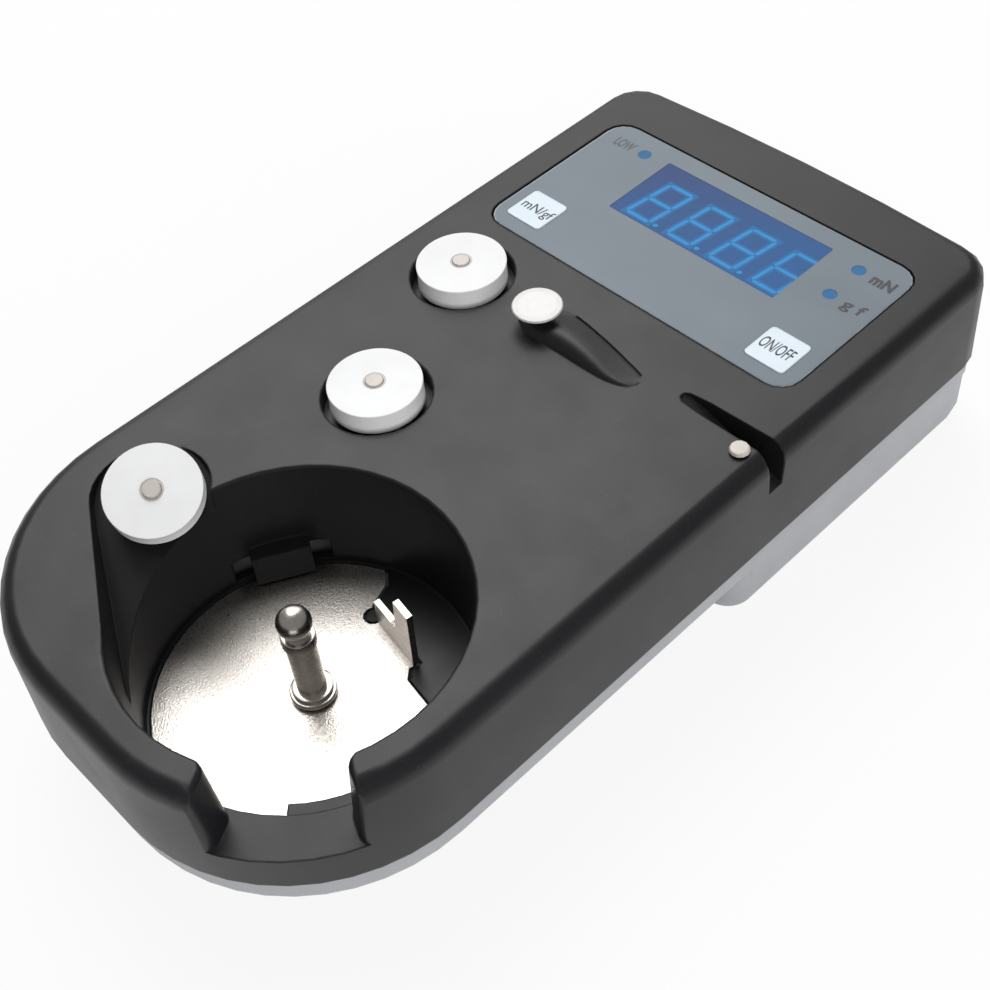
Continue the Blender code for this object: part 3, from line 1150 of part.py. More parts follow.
def make_rollers():
    """The three rollers, each turned about the middle of its top face, and their axles."""
    top = CASE_HEIGHT + ROLLER_TOP
    upright_depth = ROLLER_TOP + POCKET_DEPTH
    upright_tail = upright_depth + POCKET_FLOOR + AXLE_TAIL
    inclined_tail = INCLINED_POCKET_DEPTH + POCKET_FLOOR + AXLE_TAIL
    exit_place = (EXIT_ROLLER_X, EXIT_ROLLER_Y, top)
    sensing_place = (SENSING_ROLLER_X, SENSING_ROLLER_Y, top)
    inclined_place = inclined_roller_place()
    tilt = inclined_rotation()
    grooved = roller_profile(ROLLER_THICKNESS)
    plain = roller_profile(INCLINED_ROLLER_THICKNESS, grooved=False)
    turned("roller_exit", grooved, white_plastic(), exit_place, closed=True)
    turned("roller_sensing", grooved, white_plastic(), sensing_place, closed=True)
    turned("roller_inclined", plain, white_plastic(), inclined_place, tilt, closed=True)
    turned("axle_exit", axle_profile(ROLLER_THICKNESS, upright_depth, upright_tail, AXLE_STAND), steel(),
           exit_place, steps=SMALL_ROUND_STEPS)
    inclined = axle_profile(INCLINED_ROLLER_THICKNESS, INCLINED_POCKET_DEPTH, inclined_tail,
                            INCLINED_AXLE_STAND)
    turned("axle_inclined", inclined, steel(), inclined_place, tilt, steps=SMALL_ROUND_STEPS)
    turned("axle_sensing", sensing_axle_profile(top), steel(), sensing_place, steps=SMALL_ROUND_STEPS)


def sensing_axle_profile(top):
    """Section of the sensing axle, whose foot is screwed into the load cell."""
    shoulder_high = -ROLLER_THICKNESS - GAP
    seat = CELL_TOP + GAP - top
    return [(AXLE_RADIUS, seat - SENSING_AXLE_FOOT), (AXLE_RADIUS, seat), (AXLE_SHOULDER_RADIUS, seat),
            (AXLE_SHOULDER_RADIUS, shoulder_high), (AXLE_RADIUS, shoulder_high),
            (AXLE_RADIUS, AXLE_STAND - AXLE_EDGE), (AXLE_RADIUS - AXLE_EDGE, AXLE_STAND)]


def make_guides():
    """Guide post with its round flange, and the small pin at the slot."""
    flange_low = GUIDE_TOP - GUIDE_FLANGE_THICKNESS
    cone_low = flange_low - GUIDE_CONE_HEIGHT
    tail = -COVER_PLATE - GUIDE_TAIL
    edge = GUIDE_FLANGE_THICKNESS / 3
    profile = [(GUIDE_NECK_RADIUS, tail), (GUIDE_NECK_RADIUS, cone_low),
               (GUIDE_FLANGE_RADIUS - edge, flange_low), (GUIDE_FLANGE_RADIUS, flange_low + edge),
               (GUIDE_FLANGE_RADIUS, GUIDE_TOP - edge), (GUIDE_FLANGE_RADIUS - edge, GUIDE_TOP)]
    turned("guide_post", profile, steel(), (GUIDE_X, GUIDE_Y, CASE_HEIGHT))
    head_low = PIN_STAND - PIN_HEAD_HEIGHT
    profile = [(PIN_NECK_RADIUS, PIN_STAND - PIN_LENGTH), (PIN_NECK_RADIUS, head_low),
               (PIN_HEAD_RADIUS, head_low + edge), (PIN_HEAD_RADIUS - edge, PIN_STAND - edge),
               (PIN_HEAD_RADIUS - 3 * edge, PIN_STAND)]
    turned("slot_pin", profile, steel(), (PIN_X, PIN_Y, CASE_HEIGHT), steps=SMALL_ROUND_STEPS)


# Display panel and buttons

def button_places():
    return {"button_unit": -BUTTON_X, "button_power": BUTTON_X}


def lamp_places():
    return {"lamp_low": (LAMP_LEFT_X, LAMP_UPPER_Y), "lamp_upper": (LAMP_RIGHT_X, LAMP_UPPER_Y),
            "lamp_lower": (LAMP_RIGHT_X, LAMP_LOWER_Y)}


def make_panel():
    """Grey membrane with holes for the window, the buttons and the lamps, and the blue window."""
    low = PANEL_TOP - PANEL_THICKNESS
    outline = rounded_rectangle(PANEL_WIDTH, PANEL_DEPTH, PANEL_CORNER_RADIUS, (PANEL_X, PANEL_Y))
    film = finish("panel_film", (0.27, 0.31, 0.35), 0.0, 0.35)
    panel = prism("display_overlay", outline, low, PANEL_TOP, film)
    hole = rounded_rectangle(WINDOW_WIDTH, WINDOW_DEPTH, WINDOW_CORNER_RADIUS, (WINDOW_X, WINDOW_Y))
    cut(panel, prism("overlay_window_hole", hole, low - OVERRUN, PANEL_TOP + OVERRUN))
    side = BUTTON_SIDE + 2 * GAP
    for name, x in button_places().items():
        hole = rounded_rectangle(side, side, BUTTON_CORNER_RADIUS + GAP, (x, BUTTON_Y))
        cut(panel, prism(f"overlay_{name}_hole", hole, low - OVERRUN, PANEL_TOP + OVERRUN))
    for name, place in lamp_places().items():
        cut(panel, cylinder(f"overlay_{name}_hole", LAMP_RADIUS + GAP, low - OVERRUN, PANEL_TOP + OVERRUN,
                            place, SMALL_ROUND_STEPS))
    pane = rounded_rectangle(WINDOW_WIDTH - 2 * GAP, WINDOW_DEPTH - 2 * GAP, WINDOW_CORNER_RADIUS,
                             (WINDOW_X, WINDOW_Y))
    blue = finish("blue_window", (0.045, 0.11, 0.34), 0.0, 0.10)
    prism("display_window", pane, PANEL_TOP - WINDOW_THICKNESS, PANEL_TOP, blue)
    lamp_blue = finish("lamp_blue", (0.06, 0.24, 0.46), 0.0, 0.20)
    for name, (x, y) in lamp_places().items():
        foot = BOARD_TOP + GAP
        profile = [(LAMP_FLANGE_RADIUS, foot), (LAMP_FLANGE_RADIUS, foot + LAMP_FLANGE_HEIGHT),
                   (LAMP_RADIUS, foot + LAMP_FLANGE_HEIGHT), (LAMP_RADIUS, PANEL_TOP - GAP),
                   (LAMP_RADIUS - GAP, PANEL_TOP)]
        turned(name, profile, lamp_blue, (x, y, 0), steps=SMALL_ROUND_STEPS)


def make_buttons():
    """Button caps held by a flange under the cover, each over its switch."""
    top = PANEL_TOP + BUTTON_STAND
    flange_high = COVER_CEILING - GAP
    flange_low = flange_high - BUTTON_FLANGE_HEIGHT
    switch_low = BOARD_TOP + GAP
    for name, x in button_places().items():
        outline = rounded_rectangle(BUTTON_SIDE, BUTTON_SIDE, BUTTON_CORNER_RADIUS)
        cap = prism(name, outline, flange_high - GAP, top, white_plastic(), (x, BUTTON_Y, 0))
        flange_side = BUTTON_SIDE + 2 * BUTTON_FLANGE
        flange = rounded_rectangle(flange_side, flange_side, BUTTON_CORNER_RADIUS, (x, BUTTON_Y))
        join(cap, prism(f"{name}_flange", flange, flange_low, flange_high))
        switch_name = name.replace("button", "switch")
        dark = finish("switch_body", (0.03, 0.03, 0.03), 0.0, 0.45)
        outline = rounded_rectangle(SWITCH_SIDE, SWITCH_SIDE, BUTTON_CORNER_RADIUS, (x, BUTTON_Y), 2)
        plunger_top = flange_low - BUTTON_TRAVEL - GAP
        height = (plunger_top - switch_low) * SWITCH_HEIGHT_SHARE
        switch = prism(switch_name, outline, switch_low, switch_low + height, dark)
        join(switch, cylinder(f"{switch_name}_plunger", SWITCH_PLUNGER_RADIUS, switch_low + height / 2,
                              plunger_top, (x, BUTTON_Y), SMALL_ROUND_STEPS))


# Electronics

def board_screw_places():
    return [(-BOARD_SCREW_X, BOARD_SCREW_FRONT_Y), (BOARD_SCREW_X, BOARD_SCREW_BACK_Y)]


def make_board():
    """Circuit board with the display module, two chips and its screws from below."""
    middle = (BOARD_FRONT_Y + BOARD_BACK_Y) / 2
    outline = rounded_rectangle(BOARD_WIDTH, BOARD_BACK_Y - BOARD_FRONT_Y, BOARD_CORNER_RADIUS,
                                (0, middle), 3)
    green = finish("board_green", (0.02, 0.12, 0.05), 0.0, 0.45)
    board = prism("circuit_board", outline, BOARD_UNDERSIDE, BOARD_TOP, green)
    for number, place in enumerate(board_screw_places()):
        cut(board, cylinder(f"board_hole_{number}", BOARD_SCREW_RADIUS + GAP, BOARD_UNDERSIDE - OVERRUN,
                            BOARD_TOP + OVERRUN, place, SMALL_ROUND_STEPS))
        head_top = BOARD_UNDERSIDE - GAP
        profile = [(BOARD_SCREW_HEAD_RADIUS, head_top - BOARD_SCREW_HEAD_HEIGHT),
                   (BOARD_SCREW_HEAD_RADIUS, head_top), (BOARD_SCREW_RADIUS, head_top),
                   (BOARD_SCREW_RADIUS, head_top + BOARD_SCREW_LENGTH)]
        turned(f"board_screw_{number + 1}", profile, steel(), (*place, 0), steps=SMALL_ROUND_STEPS)
    low = BOARD_TOP + GAP
    dark = finish("module_black", (0.02, 0.02, 0.025), 0.0, 0.40)
    module = rounded_rectangle(MODULE_WIDTH, MODULE_DEPTH, MODULE_CHAMFER, (WINDOW_X, WINDOW_Y), 1)
    prism("display_module", module, low, MODULE_TOP, dark)
    chip = rounded_rectangle(PROCESSOR_SIDE, PROCESSOR_SIDE, MODULE_CHAMFER, (-CHIP_X, CHIP_Y), 1)
    prism("processor_chip", chip, low, low + PROCESSOR_HEIGHT, dark)
    chip = rounded_rectangle(AMPLIFIER_WIDTH, AMPLIFIER_DEPTH, MODULE_CHAMFER, (CHIP_X, CHIP_Y), 1)
    prism("amplifier_chip", chip, low, low + AMPLIFIER_HEIGHT, dark)


def cell_screw_places():
    """X of each screw at the load cell's fixed end."""
    last = cell_end_x() - CELL_END_MARGIN
    return [last - CELL_SCREW_SPACING, last]


def cell_screw_length():
    """Length below the head: through the beam and part of the way into its seat."""
    grip = (CELL_SEAT_TOP - RIM_FLOOR_TOP) * CELL_SCREW_GRIP_SHARE
    return CELL_THICKNESS + 2 * GAP + grip


def make_load_cell():
    """Aluminium beam with a double-hole waist, its screws and the ribbon to the board."""
    middle = CELL_START_X + CELL_LENGTH / 2
    beam = rounded_rectangle(CELL_LENGTH, CELL_WIDTH, CELL_SCREW_RADIUS / 2, (middle, SENSING_ROLLER_Y), 2)
    low = CELL_TOP - CELL_THICKNESS
    aluminium = finish("aluminium", (0.62, 0.63, 0.64), 1.0, 0.40)
    cell = prism("load_cell", beam, low, CELL_TOP, aluminium)
    upright = Matrix.Rotation(math.pi / 2, 3, "X")
    half = CELL_WIDTH / 2 + OVERRUN
    height = CELL_TOP - CELL_THICKNESS / 2
    for name, side in (("waist_left", -1), ("waist_right", 1)):
        place = (middle + side * CELL_HOLE_SPACING / 2, SENSING_ROLLER_Y, height)
        cut(cell, prism(name, circle((0, 0), CELL_HOLE_RADIUS, SMALL_ROUND_STEPS), -half, half, None,
                        place, upright))
    waist = rounded_rectangle(CELL_HOLE_SPACING, CELL_HOLE_RADIUS, CELL_HOLE_RADIUS / 4, (0, 0), 1)
    cut(cell, prism("waist_slot", waist, -half, half, None, (middle, SENSING_ROLLER_Y, height), upright))
    foot_low = CELL_TOP - SENSING_AXLE_FOOT - GAP
    cut(cell, cylinder("axle_socket", AXLE_RADIUS + GAP, foot_low, CELL_TOP + OVERRUN,
                       (SENSING_ROLLER_X, SENSING_ROLLER_Y), SMALL_ROUND_STEPS))
    for number, x in enumerate(cell_screw_places()):
        cut(cell, cylinder(f"cell_hole_{number}", CELL_SCREW_RADIUS + GAP, low - OVERRUN,
                           CELL_TOP + OVERRUN, (x, SENSING_ROLLER_Y), SMALL_ROUND_STEPS))
        head_low = CELL_TOP + GAP
        head_high = head_low + CELL_SCREW_HEAD_HEIGHT
        profile = [(CELL_SCREW_RADIUS, head_low - cell_screw_length()), (CELL_SCREW_RADIUS, head_low),
                   (CELL_SCREW_HEAD_RADIUS, head_low), (CELL_SCREW_HEAD_RADIUS, head_high)]
        turned(f"load_cell_screw_{number + 1}", profile, steel(), (x, SENSING_ROLLER_Y, 0),
               steps=SMALL_ROUND_STEPS)
    make_ribbon()


def make_ribbon():
    """Flat ribbon from the load cell's side up to the board's front edge, with one bend."""
    start_y = SENSING_ROLLER_Y + CELL_WIDTH / 2 + GAP
    end_y = BOARD_FRONT_Y + RIBBON_OVERLAP
    start_z = CELL_TOP - CELL_THICKNESS / 2
    end_z = BOARD_TOP + GAP
    bend_y = BOARD_FRONT_Y - CELL_SCREW_RADIUS
    path = [(start_y, start_z), (bend_y, end_z), (end_y, end_z)]
    edge = [(y, z) for y, z in path] + [(y, z + RIBBON_THICKNESS) for y, z in reversed(path)]
    rings = [[(RIBBON_X + side * RIBBON_WIDTH / 2, y, z) for y, z in edge] for side in (-1, 1)]
    add("sensor_ribbon", loft_mesh("sensor_ribbon", rings), finish("ribbon_grey", (0.5, 0.5, 0.5), 0.0, 0.5))


def make_batteries():
    """Two cells side by side, in opposite directions, and the contact plate at each end."""
    jacket = finish("battery_jacket", (0.10, 0.10, 0.11), 0.3, 0.35)
    half = BATTERY_LENGTH / 2
    edge = BATTERY_EDGE
    profile = [(BATTERY_RADIUS - edge, -half), (BATTERY_RADIUS, edge - half), (BATTERY_RADIUS, half - edge),
               (BATTERY_RADIUS - edge, half), (BATTERY_NUB_RADIUS, half),
               (BATTERY_NUB_RADIUS, half + BATTERY_NUB_HEIGHT)]
    for number, direction in ((1, 1), (2, -1)):
        y = BATTERY_FRONT_Y + BATTERY_PITCH * (number - 1)
        turn = Matrix.Rotation(direction * math.pi / 2, 3, "Y")
        turned(f"battery_{number}", profile, jacket, (0, y, BATTERY_HEIGHT), turn, steps=SMALL_ROUND_STEPS)
    middle_y = BATTERY_FRONT_Y + BATTERY_PITCH / 2
    width = BATTERY_PITCH + 2 * BATTERY_RADIUS - BATTERY_EDGE
    for name, side in (("battery_contact_left", -1), ("battery_contact_right", 1)):
        plate = rounded_rectangle(CONTACT_THICKNESS, width, CONTACT_THICKNESS / 4,
                                  (side * (contact_x() + CONTACT_THICKNESS / 2), middle_y), 1)
        low = BATTERY_HEIGHT - CONTACT_HEIGHT / 2
        contact = prism(name, plate, low, low + CONTACT_HEIGHT, nickel())
        turn = Matrix.Rotation(-side * math.pi / 2, 3, "Y")
        for number in range(2):
            sunk = -CONTACT_THICKNESS / 2
            top = CONTACT_BUMP_HEIGHT if (number == 0) == (side == -1) else CONTACT_BUMP_HEIGHT - GAP
            top += BATTERY_NUB_HEIGHT if (number == 0) == (side == -1) else 0
            bump = [(CONTACT_BUMP_RADIUS, sunk), (CONTACT_BUMP_RADIUS / 2, top)]
            place = (side * contact_x(), BATTERY_FRONT_Y + BATTERY_PITCH * number, BATTERY_HEIGHT)
            join(contact, turned(f"{name}_bump_{number}", bump, None, place, turn, SMALL_ROUND_STEPS))


def make_case_screws():
    """Pan-head case screws, driven up from below, with a round-ended drive recess."""
    low = SCREW_SEAT - GAP - SCREW_HEAD_HEIGHT
    head_high = SCREW_SEAT - GAP
    profile = [(SCREW_DRIVE_RADIUS / 2, low + SCREW_DRIVE_DEPTH), (SCREW_DRIVE_RADIUS, low),
               (SCREW_HEAD_RADIUS, low), (SCREW_HEAD_RADIUS, head_high), (SCREW_RADIUS, head_high),
               (SCREW_RADIUS, SCREW_SEAT + SCREW_LENGTH - SCREW_RADIUS),
               (SCREW_RADIUS / 2, SCREW_SEAT + SCREW_LENGTH)]
    for number, place in enumerate(CASE_SCREW_PLACES):
        turned(f"case_screw_{number + 1}", profile, steel(), (*place, 0), steps=SMALL_ROUND_STEPS)


def main():
    for item in list(bpy.data.objects):
        bpy.data.objects.remove(item, do_unlink=True)
    make_cover()
    make_base()
    make_door()
    make_bobbin_plate()
    make_bobbin_post()
    make_post_screw()
    make_rollers()
    make_guides()
    make_panel()
    make_buttons()
    make_board()
    make_load_cell()
    make_batteries()
    make_case_screws()


main()
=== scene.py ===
"""Looks of the thread tension meter: materials, display marks, turned pieces, studio and camera.

Lengths are in metres, apart from those that a comment gives in mm and the tables that are multiplied by MM.
"""
import math

import bmesh
import bpy
from mathutils import Matrix, Vector


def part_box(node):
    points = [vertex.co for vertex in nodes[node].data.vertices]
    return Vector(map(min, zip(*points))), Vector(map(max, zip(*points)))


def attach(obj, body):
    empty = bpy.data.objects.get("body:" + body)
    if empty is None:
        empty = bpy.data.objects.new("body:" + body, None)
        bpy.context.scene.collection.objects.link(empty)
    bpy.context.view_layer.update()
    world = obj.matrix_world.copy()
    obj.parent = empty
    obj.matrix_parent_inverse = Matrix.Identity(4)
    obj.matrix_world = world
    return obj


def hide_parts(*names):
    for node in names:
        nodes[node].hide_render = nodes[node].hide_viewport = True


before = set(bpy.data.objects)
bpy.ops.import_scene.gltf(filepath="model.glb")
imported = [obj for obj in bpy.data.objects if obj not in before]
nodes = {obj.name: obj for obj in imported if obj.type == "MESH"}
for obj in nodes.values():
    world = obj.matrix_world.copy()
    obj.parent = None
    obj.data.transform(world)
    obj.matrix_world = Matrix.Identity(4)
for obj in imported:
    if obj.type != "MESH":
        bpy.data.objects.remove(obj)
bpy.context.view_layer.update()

MM = 0.001

# Camera
FOCAL = 55.70
CAMERA_PLACE = (0.10184, -0.08403, 0.15983)
CAMERA_AZIMUTH = math.radians(50.73)
CAMERA_ELEVATION = math.radians(48.94)
CAMERA_ROLL = math.radians(6.56)

# Shading
EDGE_SAMPLES = 6
SHARP_ANGLE = math.radians(33)
FLAT_ANGLE = math.radians(0.2)
WELD = 0.002 * MM


# Node helpers

class Surface:
    """A Principled material that is built up by layers of procedural detail."""

    def __init__(self, name, colour, rough, metal=0.0, **sockets):
        self.mat = bpy.data.materials.new(name)
        self.mat.use_nodes = True
        self.tree = self.mat.node_tree
        self.bsdf = self.tree.nodes["Principled BSDF"]
        self.set(self.bsdf, "Base Color", (*colour, 1))
        self.set(self.bsdf, "Roughness", rough)
        self.set(self.bsdf, "Metallic", metal)
        for key, value in sockets.items():
            self.set(self.bsdf, key.replace("_", " "), value)
        self.colour = (*colour, 1)
        self.colour_out = None
        self.normal_out = None
        place = self.node("ShaderNodeTexCoord").outputs["Object"]
        self.place = self.scaled(place, (1 / MM,) * 3)

    def node(self, kind, **values):
        made = self.tree.nodes.new(kind)
        for key, value in values.items():
            setattr(made, key, value)
        return made

    def set(self, node, socket, value):
        node.inputs[socket].default_value = value

    def link(self, source, target):
        self.tree.links.new(source, target)

    def scaled(self, source, factors):
        node = self.node("ShaderNodeVectorMath", operation="MULTIPLY")
        self.link(source, node.inputs[0])
        node.inputs[1].default_value = factors
        return node.outputs[0]

    def noise(self, scale, detail=3.0, rough=0.55, stretch=None):
        """Noise of a scale per mm, which the three stretch factors make finer along their axes."""
        node = self.node("ShaderNodeTexNoise")
        self.link(self.scaled(self.place, stretch) if stretch else self.place, node.inputs["Vector"])
        self.set(node, "Scale", scale)
        self.set(node, "Detail", detail)
        self.set(node, "Roughness", rough)
        return node.outputs["Fac"]

    def ramp(self, source, low, high, out_low=0.0, out_high=1.0):
        node = self.node("ShaderNodeMapRange", clamp=True)
        self.link(source, node.inputs["Value"])
        for key, value in (("From Min", low), ("From Max", high), ("To Min", out_low), ("To Max", out_high)):
            self.set(node, key, value)
        return node.outputs["Result"]

    def along(self, axis, low, high):
        """0 to 1 between two places in mm along an axis of the frame."""
        node = self.node("ShaderNodeSeparateXYZ")
        self.link(self.place, node.inputs[0])
        return self.ramp(node.outputs[axis], low, high)

    def away(self, centre, low, high):
        """0 to 1 with the distance in mm from a point."""
        node = self.node("ShaderNodeVectorMath", operation="DISTANCE")
        self.link(self.place, node.inputs[0])
        node.inputs[1].default_value = centre
        return self.ramp(node.outputs["Value"], low, high)

    def times(self, source, factor):
        node = self.node("ShaderNodeMath", operation="MULTIPLY")
        self.link(source, node.inputs[0])
        node.inputs[1].default_value = factor
        return node.outputs[0]

    def tint(self, factor, colour, strength=1.0):
        """Mixes another colour in by a factor."""
        node = self.node("ShaderNodeMix", data_type="RGBA")
        self.link(self.times(factor, strength), node.inputs[0])
        if self.colour_out:
            self.link(self.colour_out, node.inputs[6])
        else:
            node.inputs[6].default_value = self.colour
        node.inputs[7].default_value = (*colour, 1)
        self.colour_out = node.outputs[2]
        self.link(self.colour_out, self.bsdf.inputs["Base Color"])

    def gloss(self, factor, low, high):
        """Roughness that runs from low to high with a factor."""
        self.link(self.ramp(factor, 0, 1, low, high), self.bsdf.inputs["Roughness"])

    def round_edges(self, radius):
        """Shades the edges as if they were rounded to a radius in mm."""
        node = self.node("ShaderNodeBevel", samples=EDGE_SAMPLES)
        self.set(node, "Radius", radius * MM)
        self.normal_out = node.outputs[0]
        self.link(self.normal_out, self.bsdf.inputs["Normal"])

    def bump(self, height, strength, depth):
        """Grain of a depth in mm, on top of the rounded edges."""
        node = self.node("ShaderNodeBump")
        self.set(node, "Strength", strength)
        self.set(node, "Distance", depth * MM)
        self.link(height, node.inputs["Height"])
        if self.normal_out:
            self.link(self.normal_out, node.inputs["Normal"])
        self.normal_out = node.outputs[0]
        self.link(self.normal_out, self.bsdf.inputs["Normal"])


# Materials

GUIDE_TOP = (-5.10, 13.80, 29.2)
BATTERY_BAND = (8, 8.4)


def cover_black():
    s = Surface("cover_black", (0.0095, 0.0093, 0.0108), 0.42, Specular_IOR_Level=0.38)
    cloud = s.noise(0.045, 2.0)
    s.tint(s.ramp(cloud, 0.35, 0.7), (0.0125, 0.0122, 0.0142))
    speck = s.noise(3.2, 2.0, 0.6)
    s.tint(s.ramp(speck, 0.66, 0.74), (0.08, 0.08, 0.085), 0.3)
    s.gloss(s.ramp(s.noise(0.12, 3.0), 0.3, 0.7), 0.35, 0.42)
    s.round_edges(0.35)
    s.bump(s.noise(4.5, 2.0, 0.65), 0.35, 0.02)
    return s.mat


def base_grey():
    s = Surface("base_grey", (0.335, 0.345, 0.37), 0.46)
    s.tint(s.ramp(s.noise(0.06, 3.0), 0.3, 0.75), (0.37, 0.375, 0.395))
    s.gloss(s.ramp(s.noise(0.2, 3.0), 0.3, 0.7), 0.40, 0.50)
    s.round_edges(0.3)
    s.bump(s.noise(5.0, 2.0, 0.6), 0.25, 0.015)
    return s.mat


def panel_film():
    """Grey printed film, with painted reflections: darker towards the right and faint wide paler bands."""
    s = Surface("panel_film", (0.165, 0.200, 0.235), 0.36, Specular_IOR_Level=0.35)
    # Painted reflection: the film darkens towards the right.
    s.tint(s.along(0, -26, 26), (0.150, 0.184, 0.217))
    # Painted reflection: faint wide paler bands across the film.
    s.tint(s.ramp(s.noise(0.045, 2.0, 0.5, (1, 1.6, 1)), 0.35, 0.65), (0.188, 0.222, 0.258), 0.6)
    s.gloss(s.ramp(s.noise(0.15, 3.0), 0.3, 0.7), 0.32, 0.40)
    s.bump(s.noise(2.2, 2.0, 0.5), 0.05, 0.01)
    return s.mat


def film_edge_highlight():
    """Edge of the film, coloured pale as a painted highlight where it catches the light."""
    # Painted highlight: the edge is coloured pale grey, with paler patches.
    s = Surface("film_edge_highlight", (0.30, 0.34, 0.37), 0.30)
    s.tint(s.ramp(s.noise(0.5, 3.0), 0.4, 0.65), (0.46, 0.49, 0.52))
    return s.mat


def window_clear():
    s = Surface("window_clear", (0.90, 0.95, 1.0), 0.05, Transmission_Weight=1.0, IOR=1.38)
    s.gloss(s.ramp(s.noise(0.2, 3.0), 0.3, 0.7), 0.03, 0.08)
    return s.mat


def window_tint():
    """Blue window of the film, brighter to the front and to the right."""
    s = Surface("window_tint", (0.049, 0.084, 0.215), 0.45, Specular_IOR_Level=0.12)
    s.tint(s.along(1, 47.5, 40), (0.036, 0.118, 0.30), 0.6)
    s.tint(s.along(0, -13, 12), (0.026, 0.140, 0.36), 0.6)
    s.tint(s.ramp(s.noise(0.3, 3.0), 0.35, 0.7), (0.052, 0.100, 0.245), 0.35)
    s.bump(s.noise(2.2, 2.0, 0.5), 0.05, 0.01)
    return s.mat


def lit_blue(name, colour, other):
    s = Surface(name, colour, 0.45, Specular_IOR_Level=0.12)
    s.tint(s.ramp(s.noise(0.8, 2.0), 0.35, 0.7), other)
    s.bump(s.noise(2.2, 2.0, 0.5), 0.05, 0.01)
    return s.mat


def lamp_blue():
    s = Surface("lamp_blue", (0.04, 0.17, 0.36), 0.35)
    s.tint(s.ramp(s.noise(1.2, 2.0), 0.35, 0.7), (0.05, 0.20, 0.42))
    s.bump(s.noise(2.0, 2.0), 0.05, 0.02)
    return s.mat


def roller_white():
    s = Surface("roller_white", (0.86, 0.865, 0.865), 0.32)
    s.tint(s.ramp(s.noise(0.3, 3.0), 0.35, 0.75), (0.83, 0.83, 0.835))
    s.gloss(s.ramp(s.noise(0.5, 3.0), 0.3, 0.7), 0.28, 0.38)
    s.bump(s.noise(1.2, 4.0, 0.6, (1, 1, 6)), 0.10, 0.01)
    return s.mat


def button_white():
    s = Surface("button_white", (0.70, 0.80, 0.87), 0.36)
    s.tint(s.ramp(s.noise(0.4, 2.0), 0.35, 0.7), (0.73, 0.82, 0.89))
    s.gloss(s.ramp(s.noise(0.6, 3.0), 0.3, 0.7), 0.28, 0.38)
    s.round_edges(0.25)
    s.bump(s.noise(2.5, 2.0), 0.08, 0.01)
    return s.mat


def plate_nickel():
    """Nickel plate with a fine, sandy grain."""
    s = Surface("plate_nickel", (0.86, 0.81, 0.75), 0.30, 1.0)
    s.tint(s.ramp(s.noise(3.6, 2.0, 0.6), 0.48, 0.62), (0.44, 0.41, 0.37), 0.5)
    s.gloss(s.ramp(s.noise(1.6, 4.0), 0.3, 0.7), 0.27, 0.33)
    s.bump(s.noise(4.2, 2.0, 0.6), 1.0, 0.06)
    return s.mat


def pin_steel():
    """Satin ends of the axles and the pin."""
    s = Surface("pin_steel", (0.60, 0.56, 0.52), 0.48, 0.25)
    s.tint(s.ramp(s.noise(1.2, 3.0), 0.4, 0.75), (0.53, 0.49, 0.45), 0.6)
    s.gloss(s.ramp(s.noise(2.0, 3.0), 0.3, 0.7), 0.46, 0.56)
    return s.mat


def turned_steel():
    s = Surface("turned_steel", (0.72, 0.68, 0.63), 0.26, 1.0)
    s.tint(s.ramp(s.noise(0.8, 3.0), 0.4, 0.75), (0.50, 0.46, 0.42), 0.6)
    rings = s.noise(1.0, 3.0, 0.6, (0.4, 0.4, 7))
    s.gloss(s.ramp(rings, 0.3, 0.7), 0.20, 0.32)
    s.bump(rings, 0.05, 0.01)
    return s.mat


def flange_steel():
    """Bright turned face of the guide post, darker towards its rim as painted shade."""
    s = Surface("flange_steel", (0.66, 0.655, 0.645), 0.46, 0.3)
    # Painted shade: the face darkens in a band towards its rim and down its side.
    rings = s.ramp(s.away(GUIDE_TOP, 0.3, 2.9), 0.80, 0.86)
    s.tint(rings, (0.58, 0.575, 0.565), 0.7)
    s.tint(s.ramp(s.noise(1.2, 3.0), 0.4, 0.75), (0.61, 0.605, 0.595), 0.5)
    s.gloss(s.ramp(s.noise(2.0, 3.0), 0.3, 0.7), 0.42, 0.52)
    s.round_edges(0.12)
    return s.mat


def bush_grey():
    s = Surface("bush_grey", (0.58, 0.56, 0.55), 0.38)
    s.tint(s.ramp(s.noise(1.5, 3.0), 0.35, 0.7), (0.50, 0.485, 0.47))
    s.gloss(s.ramp(s.noise(2.0, 3.0), 0.3, 0.7), 0.32, 0.44)
    return s.mat


def dull_steel():
    s = Surface("dull_steel", (0.60, 0.585, 0.56), 0.34, 1.0)
    s.tint(s.ramp(s.noise(0.9, 3.0), 0.4, 0.75), (0.48, 0.46, 0.44), 0.6)
    s.gloss(s.ramp(s.noise(1.6, 3.0), 0.3, 0.7), 0.28, 0.42)
    s.round_edges(0.12)
    s.bump(s.noise(3.0, 3.0), 0.12, 0.01)
    return s.mat


def milled_aluminium():
    s = Surface("milled_aluminium", (0.66, 0.67, 0.68), 0.36, 1.0)
    s.tint(s.ramp(s.noise(0.5, 3.0), 0.4, 0.7), (0.56, 0.57, 0.58))
    s.gloss(s.ramp(s.noise(1.0, 3.0, 0.5, (0.2, 4, 1)), 0.3, 0.7), 0.26, 0.44)
    s.round_edges(0.2)
    s.bump(s.noise(1.0, 3.0, 0.5, (0.2, 5, 1)), 0.15, 0.01)
    return s.mat


def board_green():
    s = Surface("board_green", (0.015, 0.11, 0.045), 0.40, Coat_Weight=0.4, Coat_Roughness=0.2)
    s.tint(s.ramp(s.noise(0.6, 4.0), 0.45, 0.55), (0.02, 0.15, 0.06), 0.7)
    s.bump(s.noise(1.5, 3.0), 0.15, 0.02)
    return s.mat


